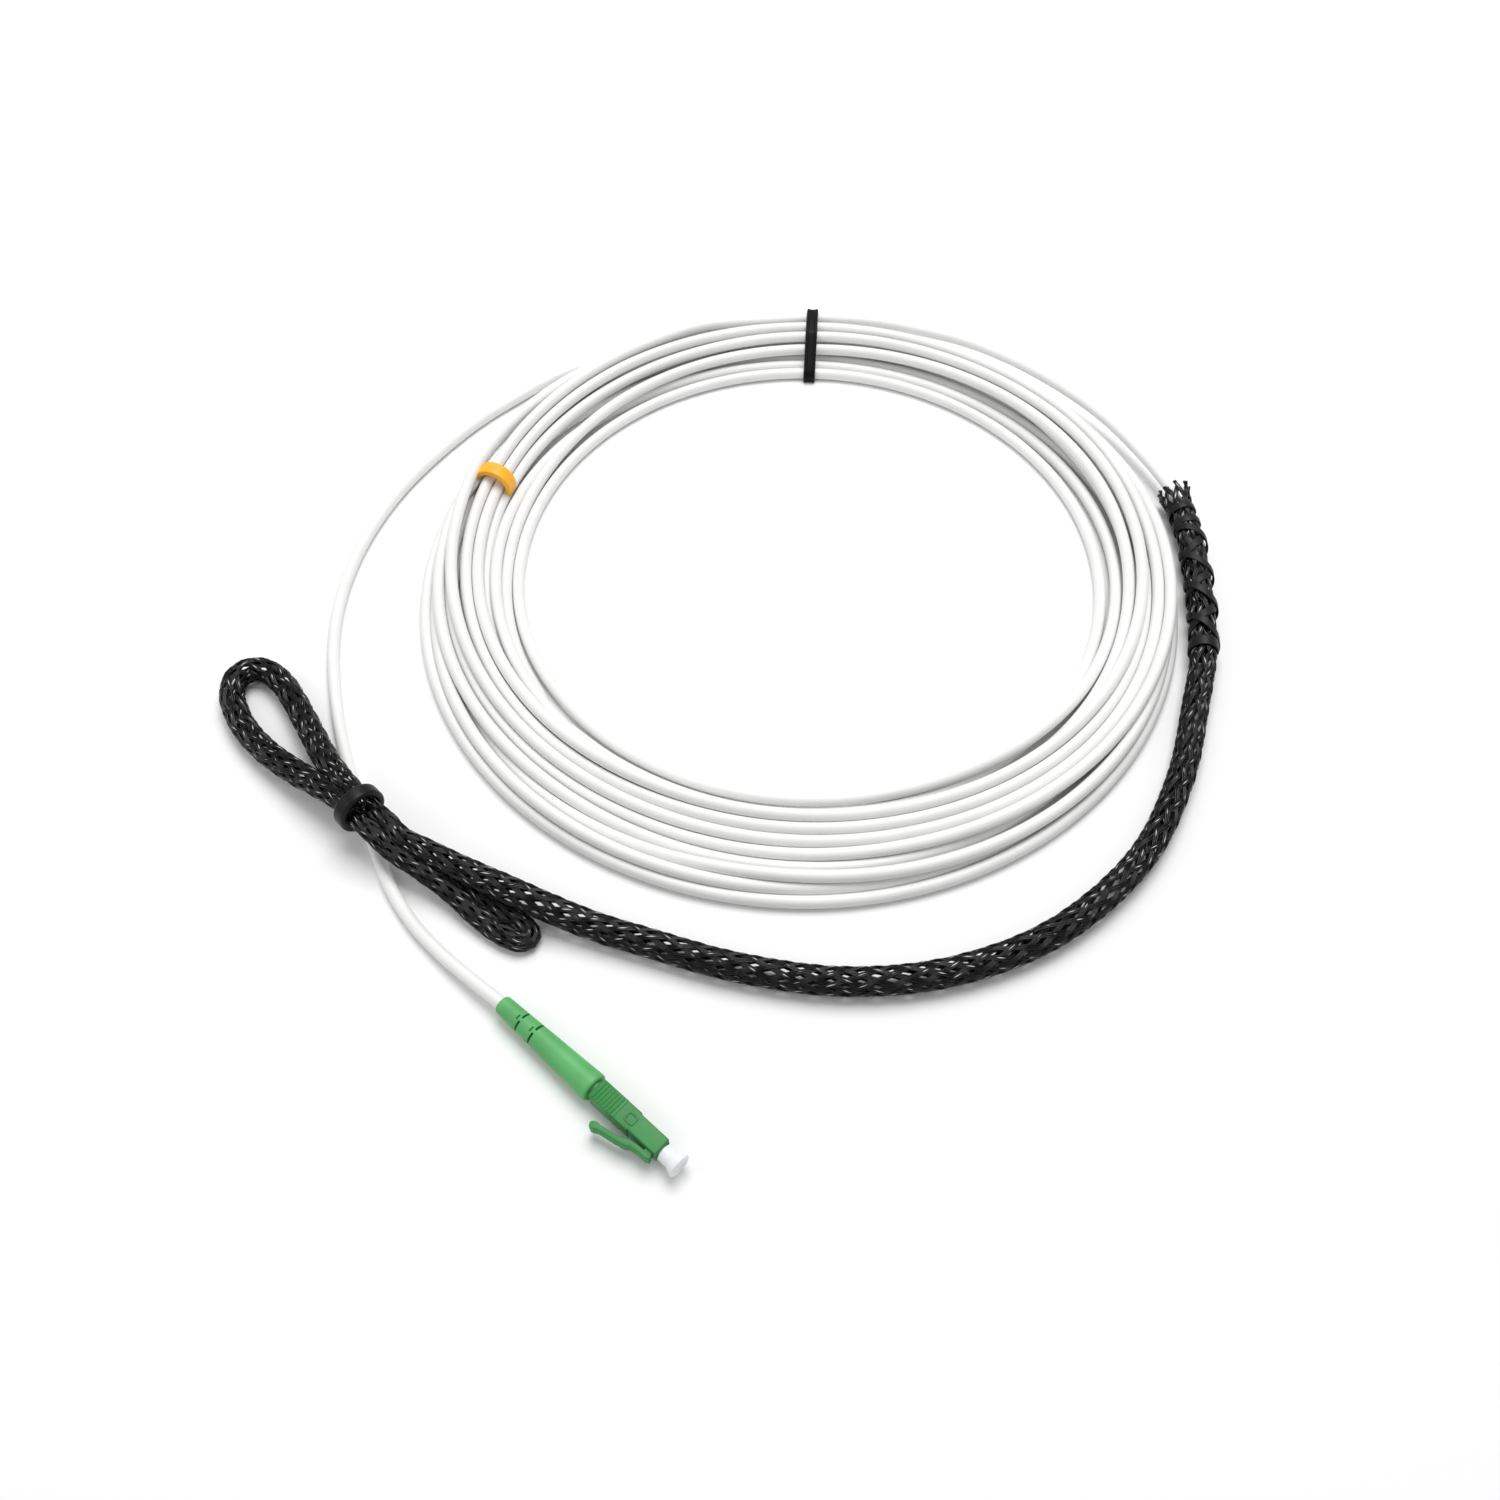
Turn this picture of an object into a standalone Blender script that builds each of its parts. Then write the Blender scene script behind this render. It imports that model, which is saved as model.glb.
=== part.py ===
"""Coiled fibre optic cable: a tied coil, a plug with a dust cap, and a braided pulling sleeve.

Everything lies on the floor plane Z = 0, in metres. The origin is the middle of the whole object
on the floor. Sizes are in millimetres. Each place on a route is the angle in degrees round the
coil's outer circle, the distance outside that circle, and the height of the centre line.
"""

import math

import bmesh
import bpy
from mathutils import Matrix, Vector

MM = 0.001
GAP = 0.3

# Cable and coil
CABLE_D = 3.0
CABLE_Z = 1.52
LAYER = 2.9
COIL_OUTER_R = 95.9
COIL_BAND = 22.1
COIL_INNER_R = COIL_OUTER_R - COIL_BAND
COIL_X = 17.2
COIL_Y = 29.7
BORE_SHIFT = (2.6, 3.8)
COIL_STEPS = 72
COIL_TURNS_ON_TOP = 7
COIL_EDGE_Z = 7.6
COIL_MID_Z = 8.8
TURN_RELIEF = 0.9

# Coil tie
TIE_ANGLE = 87.2
TIE_WIDTH = 3.5
TIE_THICK = 1.0
TIE_CORNER = 1.2

# Marker ring round two or three turns
RING_OUTER_R = 5.3
RING_WALL = 1.5
RING_LENGTH = 4.0
RING_ANGLE = 159.16
RING_OUT = -9.9
RING_Z = 6.1

# Connector, measured along its axis from the tail of the boot
PLUG_ANGLE = 242.03
PLUG_OUT = 39.7
PLUG_Z = 3.4
PLUG_TURN = -42.0
BOOT_LENGTH = 27.5
BOOT_TAIL_R = 2.05
BOOT_END_R = 3.15
BOOT_NECK_R = 2.2
BOOT_NECK = 1.4
SLOT_DEPTH = 0.45
HOUSING_LENGTH = 17.2
HOUSING_SIDE = 4.7
HOUSING_EDGE = 0.35
NOSE_BORE_R = 1.75
NOSE_DEPTH = 9.0
FERRULE_R = 0.625
CAP_DISC_R = 2.65
CAP_NECK_R = 1.9
CAP_OUT = 4.7
CAP_IN = 7.6
LATCH_THICK = 1.2
LATCH_WIDTH = 2.6
LATCH_REACH = 13.4
LATCH_RISE = 2.7

# Pulling sleeve, its ring and its lashing
SLEEVE_R = 3.25
LOOP_R = 3.1
TAIL_R = 1.85
NECK_R = 1.85
MOUTH_R = 4.5
MOUTH_DEPTH = 8.0
RUN_TAPER = 45.0
LOOP_TAPER = 26.0
TAIL_TAPER = 24.0
TIP_TAPER = 12.0
BAND_INNER_R = 4.2
BAND_WALL = 1.5
BAND_LENGTH = 3.6
BAND_ANGLE = 217.22
BAND_OUT = 28.4
BAND_Z = 9.1
BAND_TURN = 134.4
LASHING_R = 0.55
LASHING_TURNS = 7
LASHING_START = 8.0
LASHING_LENGTH = 50.0

LEAD_ROUTE = [
    (105.00, 1.8, CABLE_Z),
    (114.93, 2.8, CABLE_Z),
    (124.31, 4.7, CABLE_Z),
    (131.36, 6.6, CABLE_Z),
    (138.60, 7.7, CABLE_Z),
    (146.48, 9.7, CABLE_Z),
    (154.91, 11.9, CABLE_Z),
    (163.58, 14.8, CABLE_Z),
    (171.62, 17.3, CABLE_Z),
    (178.81, 19.3, CABLE_Z),
    (185.46, 20.8, CABLE_Z),
    (191.82, 21.8, CABLE_Z),
    (197.95, 22.6, CABLE_Z),
    (204.60, 24.0, CABLE_Z),
    (211.01, 25.8, CABLE_Z),
    (215.84, 27.6, CABLE_Z),
    (219.79, 29.6, CABLE_Z),
    (224.65, 32.9, CABLE_Z),
    (229.42, 35.4, CABLE_Z),
    (233.82, 36.9, 1.9),
    (238.14, 38.2, 2.8),
]

ENTRY_ROUTE = [
    (67.32, 1.9, 6.6),
    (59.21, 3.7, 6.6),
    (50.79, 4.4, 6.4),
    (42.16, 5.3, 5.9),
    (34.11, 6.3, 5.4),
    (26.66, 6.8, 5.0),
    (19.01, 7.5, 4.8),
]

RUN_ROUTE = [
    (14.47, 7.8, 4.85),
    (7.73, 6.7, 4.85),
    (0.73, 5.7, 4.85),
    (352.17, 5.4, 4.85),
    (343.92, 6.3, 4.8),
    (336.14, 7.2, 4.1),
    (323.61, 11.8, 3.3),
    (311.09, 17.0, 3.3),
    (297.91, 20.1, 3.3),
    (285.96, 20.5, 3.3),
    (274.34, 19.1, 3.3),
    (262.69, 16.5, 3.3),
    (251.22, 15.0, 3.3),
    (246.00, 15.6, 3.6),
    (240.93, 16.6, 4.6),
    (235.26, 18.3, 5.8),
    (229.66, 20.8, 6.7),
    (225.99, 22.8, 7.4),
    (222.91, 25.0, 8.2),
]

LOOP_ROUTE = [
    (209.54, 29.0, 7.0),
    (203.09, 30.3, 4.7),
    (197.18, 33.1, 3.4),
    (194.22, 36.8, 3.2),
    (193.34, 41.1, 3.2),
    (194.12, 44.7, 3.2),
    (195.90, 46.1, 3.2),
    (197.96, 45.8, 3.2),
    (200.92, 44.1, 3.3),
    (204.46, 40.8, 3.9),
    (208.15, 36.8, 5.2),
    (211.60, 33.5, 7.2),
]

TAIL_ROUTE = [
    (220.82, 29.2, 8.5),
    (223.28, 28.4, 7.0),
    (226.59, 26.5, 5.2),
    (230.29, 25.4, 3.5),
    (233.59, 25.8, 2.5),
    (236.04, 26.1, 1.95),
    (238.19, 26.1, 1.95),
    (239.65, 25.4, 1.95),
    (240.25, 23.8, 1.95),
    (239.65, 22.3, 1.95),
    (238.20, 21.8, 1.95),
    (236.70, 22.0, 1.95),
    (234.80, 22.1, 1.95),
    (232.30, 21.95, 1.9),
    (229.80, 22.1, 1.7),
    (227.60, 22.4, 1.6),
]

WHITE_JACKET = ("cable_jacket", (0.86, 0.86, 0.85), 0.5)
BLACK_BRAID = ("sleeve_braid", (0.012, 0.012, 0.013), 0.38)
BLACK_CORD = ("lashing_cord", (0.01, 0.01, 0.011), 0.6)
BLACK_RUBBER = ("band_rubber", (0.02, 0.02, 0.022), 0.55)
BLACK_TIE = ("tie_plastic", (0.015, 0.015, 0.016), 0.45)
YELLOW_RING = ("marker_plastic", (0.91, 0.42, 0.02), 0.4)
GREEN_BOOT = ("boot_rubber", (0.08, 0.45, 0.14), 0.5)
GREEN_HOUSING = ("housing_plastic", (0.02, 0.24, 0.07), 0.35)
WHITE_CAP = ("cap_plastic", (0.85, 0.86, 0.87), 0.4)
WHITE_CERAMIC = ("ferrule_ceramic", (0.9, 0.9, 0.88), 0.2)


def beside_coil(angle, out, z):
    """The point out mm outside the coil's outer circle, at an angle in degrees round it."""
    turn = math.radians(angle)
    radius = COIL_OUTER_R + out
    return Vector((COIL_X + radius * math.cos(turn), COIL_Y + radius * math.sin(turn), z))


def route(places):
    return [beside_coil(*place) for place in places]


def clear_scene():
    for obj in list(bpy.data.objects):
        bpy.data.objects.remove(obj, do_unlink=True)


def new_collection(name):
    collection = bpy.data.collections.new(name)
    bpy.context.scene.collection.children.link(collection)
    return collection


def material(spec):
    name, colour, roughness = spec
    found = bpy.data.materials.get(name)
    if found:
        return found
    made = bpy.data.materials.new(name)
    made.use_nodes = True
    shader = made.node_tree.nodes["Principled BSDF"]
    shader.inputs["Base Color"].default_value = (*colour, 1.0)
    shader.inputs["Roughness"].default_value = roughness
    shader.inputs["Metallic"].default_value = 0.0
    return made


def add_object(name, data, spec, collection):
    obj = bpy.data.objects.new(name, data)
    collection.objects.link(obj)
    if spec:
        obj.data.materials.append(material(spec))
    return obj


def as_mesh(obj):
    """Replaces an object by the mesh that its modifiers and curve settings make."""
    name = obj.name
    bpy.context.view_layer.update()
    graph = bpy.context.evaluated_depsgraph_get()
    mesh = bpy.data.meshes.new_from_object(obj.evaluated_get(graph))
    made = bpy.data.objects.new(name + "_mesh", mesh)
    made.matrix_world = obj.matrix_world.copy()
    made.parent = obj.parent
    made.matrix_parent_inverse = obj.matrix_parent_inverse.copy()
    for collection in obj.users_collection:
        collection.objects.link(made)
    bpy.data.objects.remove(obj, do_unlink=True)
    made.name = name
    weld(mesh)
    return made


def weld(mesh):
    work = bmesh.new()
    work.from_mesh(mesh)
    bmesh.ops.remove_doubles(work, verts=work.verts, dist=0.00001)
    bmesh.ops.recalc_face_normals(work, faces=work.faces)
    work.to_mesh(mesh)
    work.free()


def smooth(mesh, angle=40.0):
    mesh.shade_smooth()
    mesh.set_sharp_from_angle(angle=math.radians(angle))


def spline_points(way, spacing):
    """Points about every spacing mm along the smooth curve through the points of the way."""
    knots = [Vector(point) for point in way]
    knots.insert(0, knots[0] * 2 - knots[1])
    knots.append(knots[-1] * 2 - knots[-2])
    fine = []
    for before, start, end, after in zip(knots, knots[1:], knots[2:], knots[3:]):
        for step in range(24):
            t = step / 24
            fine.append(
                start
                + (end - before) * (0.5 * t)
                + (before * 2 - start * 5 + end * 4 - after) * (0.5 * t * t)
                + (start * 3 - before - end * 3 + after) * (0.5 * t * t * t)
            )
    fine.append(knots[-2])
    lengths = [0.0]
    for one, two in zip(fine, fine[1:]):
        lengths.append(lengths[-1] + (two - one).length)
    count = max(2, round(lengths[-1] / spacing))
    points = []
    index = 0
    for number in range(count + 1):
        target = lengths[-1] * number / count
        while index < len(lengths) - 2 and lengths[index + 1] < target:
            index += 1
        span = lengths[index + 1] - lengths[index]
        part = (target - lengths[index]) / span if span else 0.0
        points.append(fine[index].lerp(fine[index + 1], min(1.0, part)))
    return points


def tube(name, points, radii, spec, collection):
    """A round tube through points in mm, with a radius in mm at each one."""
    data = bpy.data.curves.new(name, "CURVE")
    data.dimensions = "3D"
    data.bevel_depth = MM
    data.bevel_resolution = 2
    data.use_fill_caps = True
    data.twist_mode = "Z_UP"
    line = data.splines.new("POLY")
    line.points.add(len(points) - 1)
    for knot, point, radius in zip(line.points, points, radii):
        knot.co = (*(point * MM), 1.0)
        knot.radius = radius
    return add_object(name, data, spec, collection)


def turned(name, profile, steps, spec, collection, parent=None):
    """A turned solid from (radius, height) points in mm, running down its outer side."""
    mesh = bpy.data.meshes.new(name)
    count = len(profile)
    closed = profile[0][0] > 0.0 and profile[-1][0] > 0.0
    edges = [(i, i + 1) for i in range(count - 1)]
    if closed:
        edges.append((count - 1, 0))
    mesh.from_pydata([(r * MM, 0.0, z * MM) for r, z in profile], edges, [])
    obj = add_object(name, mesh, spec, collection)
    obj.parent = parent
    screw = obj.modifiers.new("turn", "SCREW")
    screw.axis = "Z"
    screw.steps = steps
    screw.render_steps = steps
    screw.use_merge_vertices = True
    screw.merge_threshold = 0.00001
    return obj


def plate(name, outlines, half, spec, collection):
    """A flat plate from closed outlines in mm, of which any inside another is a hole."""
    data = bpy.data.curves.new(name, "CURVE")
    data.dimensions = "2D"
    data.fill_mode = "BOTH"
    data.extrude = half * MM
    for outline in outlines:
        line = data.splines.new("POLY")
        line.points.add(len(outline) - 1)
        line.use_cyclic_u = True
        for knot, (x, y) in zip(line.points, outline):
            knot.co = (x * MM, y * MM, 0.0, 1.0)
    return add_object(name, data, spec, collection)


def rounded_box_outline(low, high, corner, steps=3):
    """The outline of a rectangle from low to high with rounded corners."""
    points = []
    centres = [
        (high[0] - corner, high[1] - corner, 0),
        (low[0] + corner, high[1] - corner, 90),
        (low[0] + corner, low[1] + corner, 180),
        (high[0] - corner, low[1] + corner, 270),
    ]
    for x, y, start in centres:
        for step in range(steps + 1):
            angle = math.radians(start + 90 * step / steps)
            points.append((x + corner * math.cos(angle), y + corner * math.sin(angle)))
    return points


def block(name, low, high, spec, collection, parent=None):
    """A box from low to high in mm, as a mesh with no scale on its object."""
    bpy.ops.mesh.primitive_cube_add(size=1.0)
    obj = bpy.context.active_object
    obj.name = name
    size = [(b - a) * MM for a, b in zip(low, high)]
    middle = [(a + b) * 0.5 * MM for a, b in zip(low, high)]
    obj.data.transform(Matrix.Translation(middle) @ Matrix.Diagonal((*size, 1.0)))
    for old in obj.users_collection:
        old.objects.unlink(obj)
    collection.objects.link(obj)
    if spec:
        obj.data.materials.append(material(spec))
    obj.parent = parent
    return obj


def cut(obj, cutter):
    cutter.hide_render = True
    cutter.display_type = "WIRE"
    difference = obj.modifiers.new("cut_" + cutter.name, "BOOLEAN")
    difference.operation = "DIFFERENCE"
    difference.object = cutter


def coil_profile():
    """The coil's section: stacked turns on both walls, turns side by side on top."""
    half = CABLE_D / 2
    points = []
    layers = (2 * LAYER + half, LAYER + half, half)
    for level, z in enumerate(layers):
        points.append((COIL_OUTER_R, min(z, COIL_EDGE_Z - 0.9)))
        if level < 2:
            points.append((COIL_OUTER_R - TURN_RELIEF, z - LAYER / 2))
    points.append((COIL_OUTER_R - 0.9, 0.0))
    points.append((COIL_INNER_R + 0.9, 0.0))
    for level, z in enumerate(reversed(layers)):
        points.append((COIL_INNER_R, min(z, COIL_EDGE_Z - 0.9)))
        if level < 2:
            points.append((COIL_INNER_R + TURN_RELIEF, z + LAYER / 2))
    pitch = (COIL_OUTER_R - COIL_INNER_R) / COIL_TURNS_ON_TOP
    for turn in range(COIL_TURNS_ON_TOP):
        radius = COIL_INNER_R + pitch * (turn + 0.5)
        rise = math.sin(math.pi * (turn + 0.5) / COIL_TURNS_ON_TOP)
        top = COIL_EDGE_Z + (COIL_MID_Z - COIL_EDGE_Z) * rise
        points.append((radius, top))
        if turn < COIL_TURNS_ON_TOP - 1:
            points.append((radius + pitch / 2, top - TURN_RELIEF))
    return points


def section_at(angle):
    """The coil's inner and outer edge along this direction, in mm from the outer circle's centre."""
    along = math.cos(math.radians(angle)), math.sin(math.radians(angle))
    inner = COIL_INNER_R + BORE_SHIFT[0] * along[0] + BORE_SHIFT[1] * along[1]
    return inner, COIL_OUTER_R


def make_coil(parts, cutters):
    coil = turned("cable_coil", coil_profile(), COIL_STEPS, WHITE_JACKET, parts)
    coil.location = (COIL_X * MM, COIL_Y * MM, 0.0)
    coil = as_mesh(coil)
    for vertex in coil.data.vertices:
        radius = math.hypot(vertex.co.x, vertex.co.y) / MM
        share = (COIL_OUTER_R - radius) / (COIL_OUTER_R - COIL_INNER_R)
        vertex.co.x += share * BORE_SHIFT[0] * MM
        vertex.co.y += share * BORE_SHIFT[1] * MM
    smooth(coil.data, 60.0)
    inner, outer = section_at(TIE_ANGLE)
    groove = block(
        "tie_groove",
        (inner - 5.0, -TIE_WIDTH / 2 - GAP, -2.0),
        (outer + 5.0, TIE_WIDTH / 2 + GAP, TIE_THICK + 2 * GAP),
        None,
        cutters,
    )
    groove.location = coil.location
    groove.rotation_euler.z = math.radians(TIE_ANGLE)
    cut(coil, groove)
    pocket = marker_tube("ring_pocket", GAP, 48, None, cutters)
    cut(coil, as_mesh(pocket))
    return coil


def make_tie(parts):
    inner, outer = section_at(TIE_ANGLE)
    low = (inner - GAP, TIE_THICK + GAP / 2)
    high = (outer + GAP, COIL_MID_Z + GAP)
    hole = rounded_box_outline(low, high, TIE_CORNER)
    around = rounded_box_outline(
        (low[0] - TIE_THICK, low[1] - TIE_THICK),
        (high[0] + TIE_THICK, high[1] + TIE_THICK),
        TIE_CORNER + TIE_THICK,
    )
    tie = plate("coil_tie", [around, hole], TIE_WIDTH / 2, BLACK_TIE, parts)
    upright = Matrix.Rotation(math.radians(90), 4, "X")
    turn = Matrix.Rotation(math.radians(TIE_ANGLE), 4, "Z")
    tie.matrix_world = Matrix.Translation((COIL_X * MM, COIL_Y * MM, 0.0)) @ turn @ upright
    return tie


def marker_tube(name, extra, steps, spec, collection):
    outer = RING_OUTER_R + extra
    inner = RING_OUTER_R - RING_WALL - extra
    half = RING_LENGTH / 2 + extra
    edge = 0.3
    profile = [
        (outer - edge, half),
        (outer, half - edge),
        (outer, edge - half),
        (outer - edge, -half),
        (inner, -half),
        (inner, half),
    ]
    tube_object = turned(name, profile, steps, spec, collection)
    lay = Matrix.Rotation(math.radians(RING_ANGLE), 4, "Z") @ Matrix.Rotation(math.radians(90), 4, "X")
    middle = beside_coil(RING_ANGLE, RING_OUT, RING_Z)
    tube_object.matrix_world = Matrix.Translation(middle * MM) @ lay
    return tube_object


def make_connector(parts, cutters):
    plug = bpy.data.objects.new("connector_axis", None)
    parts.objects.link(plug)
    plug.location = beside_coil(PLUG_ANGLE, PLUG_OUT, PLUG_Z) * MM
    plug.rotation_euler.z = math.radians(PLUG_TURN)
    along = math.radians(90)

    def radius_at(distance):
        return BOOT_TAIL_R + (BOOT_END_R - BOOT_TAIL_R) * distance / BOOT_LENGTH

    boot_profile = [
        (0.0, BOOT_LENGTH + BOOT_NECK),
        (BOOT_NECK_R, BOOT_LENGTH + BOOT_NECK),
        (BOOT_NECK_R, BOOT_LENGTH),
        (BOOT_END_R - 0.5, BOOT_LENGTH),
        (BOOT_END_R, BOOT_LENGTH - 0.5),
    ]
    for share in (0.39, 0.23):
        start = BOOT_LENGTH * share
        boot_profile += [
            (radius_at(start), start),
            (radius_at(start) - SLOT_DEPTH, start - 0.1),
            (radius_at(start) - SLOT_DEPTH, start - 1.2),
            (radius_at(start), start - 1.3),
        ]
    bore = CABLE_D / 2 + GAP
    boot_profile += [
        (BOOT_TAIL_R, 0.25),
        (BOOT_TAIL_R - 0.1, 0.0),
        (bore, 0.0),
        (bore, 3.0),
        (0.0, 3.0),
    ]
    boot = turned("connector_boot", boot_profile, 24, GREEN_BOOT, parts, plug)
    boot.rotation_euler.y = along

    half = HOUSING_SIDE / 2
    start = BOOT_LENGTH + BOOT_NECK + GAP
    front = start + HOUSING_LENGTH
    housing = block(
        "connector_housing", (start, -half, -half), (front, half, half), GREEN_HOUSING, parts, plug
    )
    bevel = housing.modifiers.new("edges", "BEVEL")
    bevel.width = HOUSING_EDGE * MM
    bevel.segments = 2
    nose = turned(
        "nose_bore",
        [
            (0.0, front + 2.0),
            (NOSE_BORE_R, front + 2.0),
            (NOSE_BORE_R, front - NOSE_DEPTH),
            (0.0, front - NOSE_DEPTH),
        ],
        24,
        None,
        cutters,
        plug,
    )
    nose.rotation_euler.y = along
    cut(housing, nose)

    ferrule_base = front - NOSE_DEPTH + GAP
    ferrule = turned(
        "ferrule",
        [
            (0.0, front - 1.2),
            (FERRULE_R - 0.1, front - 1.2),
            (FERRULE_R, front - 1.4),
            (FERRULE_R, ferrule_base + 0.7),
            (NOSE_BORE_R - GAP, ferrule_base + 0.7),
            (NOSE_BORE_R - GAP, ferrule_base),
            (0.0, ferrule_base),
        ],
        20,
        WHITE_CERAMIC,
        parts,
        plug,
    )
    ferrule.rotation_euler.y = along

    skirt = NOSE_BORE_R - GAP
    cap = turned(
        "dust_cap",
        [
            (0.0, CAP_OUT),
            (CAP_DISC_R - 0.25, CAP_OUT),
            (CAP_DISC_R, CAP_OUT - 0.3),
            (CAP_DISC_R, CAP_OUT - 1.1),
            (CAP_NECK_R, CAP_OUT - 2.0),
            (CAP_NECK_R, GAP),
            (skirt, GAP),
            (skirt, -CAP_IN),
            (FERRULE_R + GAP, -CAP_IN),
            (FERRULE_R + GAP, -0.5),
            (0.0, -0.5),
        ],
        24,
        WHITE_CAP,
        parts,
        plug,
    )
    cap.rotation_euler.y = along
    cap.location.x = front * MM

    latch = plate(
        "latch_lever", [latch_outline()], LATCH_WIDTH / 2 - 0.15, GREEN_HOUSING, parts
    )
    latch.data.bevel_depth = 0.15 * MM
    latch.data.bevel_resolution = 0
    latch.parent = plug
    latch.location = (
        (front - 1.4) * MM,
        -(half + GAP + LATCH_THICK / 2) * MM,
        0.0,
    )
    return plug


def latch_outline():
    """The lever seen from above, from its root at the origin back to its raised tip."""
    edge = LATCH_THICK / 2 - 0.15
    centre = [
        (0.0, 0.0),
        (-LATCH_REACH * 0.25, -LATCH_RISE * 0.1),
        (-LATCH_REACH * 0.5, -LATCH_RISE * 0.36),
        (-LATCH_REACH * 0.8, -LATCH_RISE * 0.72),
        (-LATCH_REACH, -LATCH_RISE),
    ]
    inside = [(x, y + edge) for x, y in centre]
    outside = [(x, y - edge) for x, y in centre]
    tip = [(-LATCH_REACH - 0.35, -LATCH_RISE - 0.1)]
    return inside + tip + list(reversed(outside))


def band_frame():
    turn = math.radians(BAND_TURN)
    centre = beside_coil(BAND_ANGLE, BAND_OUT, BAND_Z)
    along = Vector((math.cos(turn), math.sin(turn), 0.0))
    side = Vector((math.sin(turn), -math.cos(turn), 0.0))
    return centre, along, side


def neck(shift, side_sign):
    """A point of one sleeve's neck inside the band, shift mm along the band's axis."""
    centre, along, side = band_frame()
    return centre + side * (side_sign * (NECK_R + GAP / 2)) + along * shift


def make_band(parts):
    centre, along, side = band_frame()
    outer = BAND_INNER_R + BAND_WALL
    half = BAND_LENGTH / 2
    edge = 0.45
    profile = [
        (outer - edge, half),
        (outer, half - edge),
        (outer, edge - half),
        (outer - edge, -half),
        (BAND_INNER_R, -half),
        (BAND_INNER_R, half),
    ]
    band = turned("sleeve_band", profile, 32, BLACK_RUBBER, parts)
    lay = Matrix.Rotation(math.radians(BAND_TURN), 4, "Z") @ Matrix.Rotation(math.radians(90), 4, "Y")
    band.matrix_world = Matrix.Translation(centre * MM) @ lay
    return band


def eased(points, start_radius, radius, end_radius, start_length, end_length):
    """A radius for each point, easing from the start's and to the end's."""
    lengths = [0.0]
    for one, two in zip(points, points[1:]):
        lengths.append(lengths[-1] + (two - one).length)
    radii = []
    for length in lengths:
        first = min(1.0, length / start_length)
        last = min(1.0, (lengths[-1] - length) / end_length)
        first = first * first * (3 - 2 * first)
        last = last * last * (3 - 2 * last)
        radii.append(
            radius + (start_radius - radius) * (1 - first) + (end_radius - radius) * (1 - last)
        )
    return radii


def make_sleeve(parts, cutters):
    run_route = [*route(RUN_ROUTE), neck(-7.0, 1.2), neck(-2.5, 1), neck(-GAP / 2, 1)]
    run_points = spline_points(run_route, 8.0)
    radii = eased(run_points, MOUTH_R, SLEEVE_R, NECK_R, MOUTH_DEPTH, RUN_TAPER)
    run = as_mesh(tube("sleeve_run", run_points, radii, BLACK_BRAID, parts))
    smooth(run.data, 60.0)
    inside = spline_points([*route(ENTRY_ROUTE[-3:]), *entry_end(MOUTH_DEPTH - 1.4)], 3.0)
    bore = [CABLE_D / 2 + 2 * GAP] * len(inside)
    mouth = as_mesh(tube("mouth_bore", inside, bore, None, cutters))
    cut(run, mouth)

    way_out = [neck(GAP / 2, 1), neck(3.5, 1)]
    way_back = [neck(3.5, -1), neck(GAP / 2, -1)]
    loop_points = spline_points([*way_out, *route(LOOP_ROUTE), *way_back], 4.0)
    loop = tube(
        "sleeve_loop",
        loop_points,
        eased(loop_points, NECK_R, LOOP_R, NECK_R, LOOP_TAPER, LOOP_TAPER),
        BLACK_BRAID,
        parts,
    )
    tail_points = spline_points([neck(-GAP / 2, -1), neck(-3.0, -1), *route(TAIL_ROUTE)], 3.4)
    tail = tube(
        "sleeve_tail",
        tail_points,
        eased(tail_points, NECK_R, TAIL_R, TAIL_R * 0.8, TAIL_TAPER, TIP_TAPER),
        BLACK_BRAID,
        parts,
    )
    return run_points, loop, tail


def entry_end(depth):
    """The last points of the cable inside the sleeve's mouth."""
    first, second = route(RUN_ROUTE[:2])
    ahead = (second - first).normalized()
    return [first + ahead * 1.5, first + ahead * depth]


def make_lashing(run_points, parts):
    """The cord that is wound round the sleeve behind its mouth, as one helix with closed ends."""
    radius = SLEEVE_R + GAP + LASHING_R
    centre_line = spline_points(run_points[:12], 1.0)
    steps = LASHING_TURNS * 12
    points = []
    for step in range(steps + 1):
        share = step / steps
        advance = share - 0.42 * math.sin(2 * math.pi * share) * 2 / (2 * math.pi)
        place = LASHING_START + LASHING_LENGTH * advance
        index = min(len(centre_line) - 2, int(place))
        centre = centre_line[index].lerp(centre_line[index + 1], place - index)
        ahead = (centre_line[index + 1] - centre_line[index]).normalized()
        side = ahead.cross(Vector((0, 0, 1))).normalized()
        up = side.cross(ahead)
        angle = 2 * math.pi * LASHING_TURNS * share
        points.append(centre + (side * math.cos(angle) + up * math.sin(angle)) * radius)
    return tube("sleeve_lashing", points, [LASHING_R] * len(points), BLACK_CORD, parts)


def make_leads(parts):
    boot_mouth = beside_coil(PLUG_ANGLE, PLUG_OUT, PLUG_Z)
    turn = math.radians(PLUG_TURN)
    ahead = Vector((math.cos(turn), math.sin(turn), 0.0))
    lead_route = [*route(LEAD_ROUTE), boot_mouth, boot_mouth + ahead * 2.6]
    lead_points = spline_points(lead_route, 7.0)
    size = CABLE_D / 2
    tube("cable_lead", lead_points, [size] * len(lead_points), WHITE_JACKET, parts)
    entry_points = spline_points([*route(ENTRY_ROUTE), *entry_end(MOUTH_DEPTH - 2.0)], 5.0)
    tube("cable_entry", entry_points, [size] * len(entry_points), WHITE_JACKET, parts)


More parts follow.
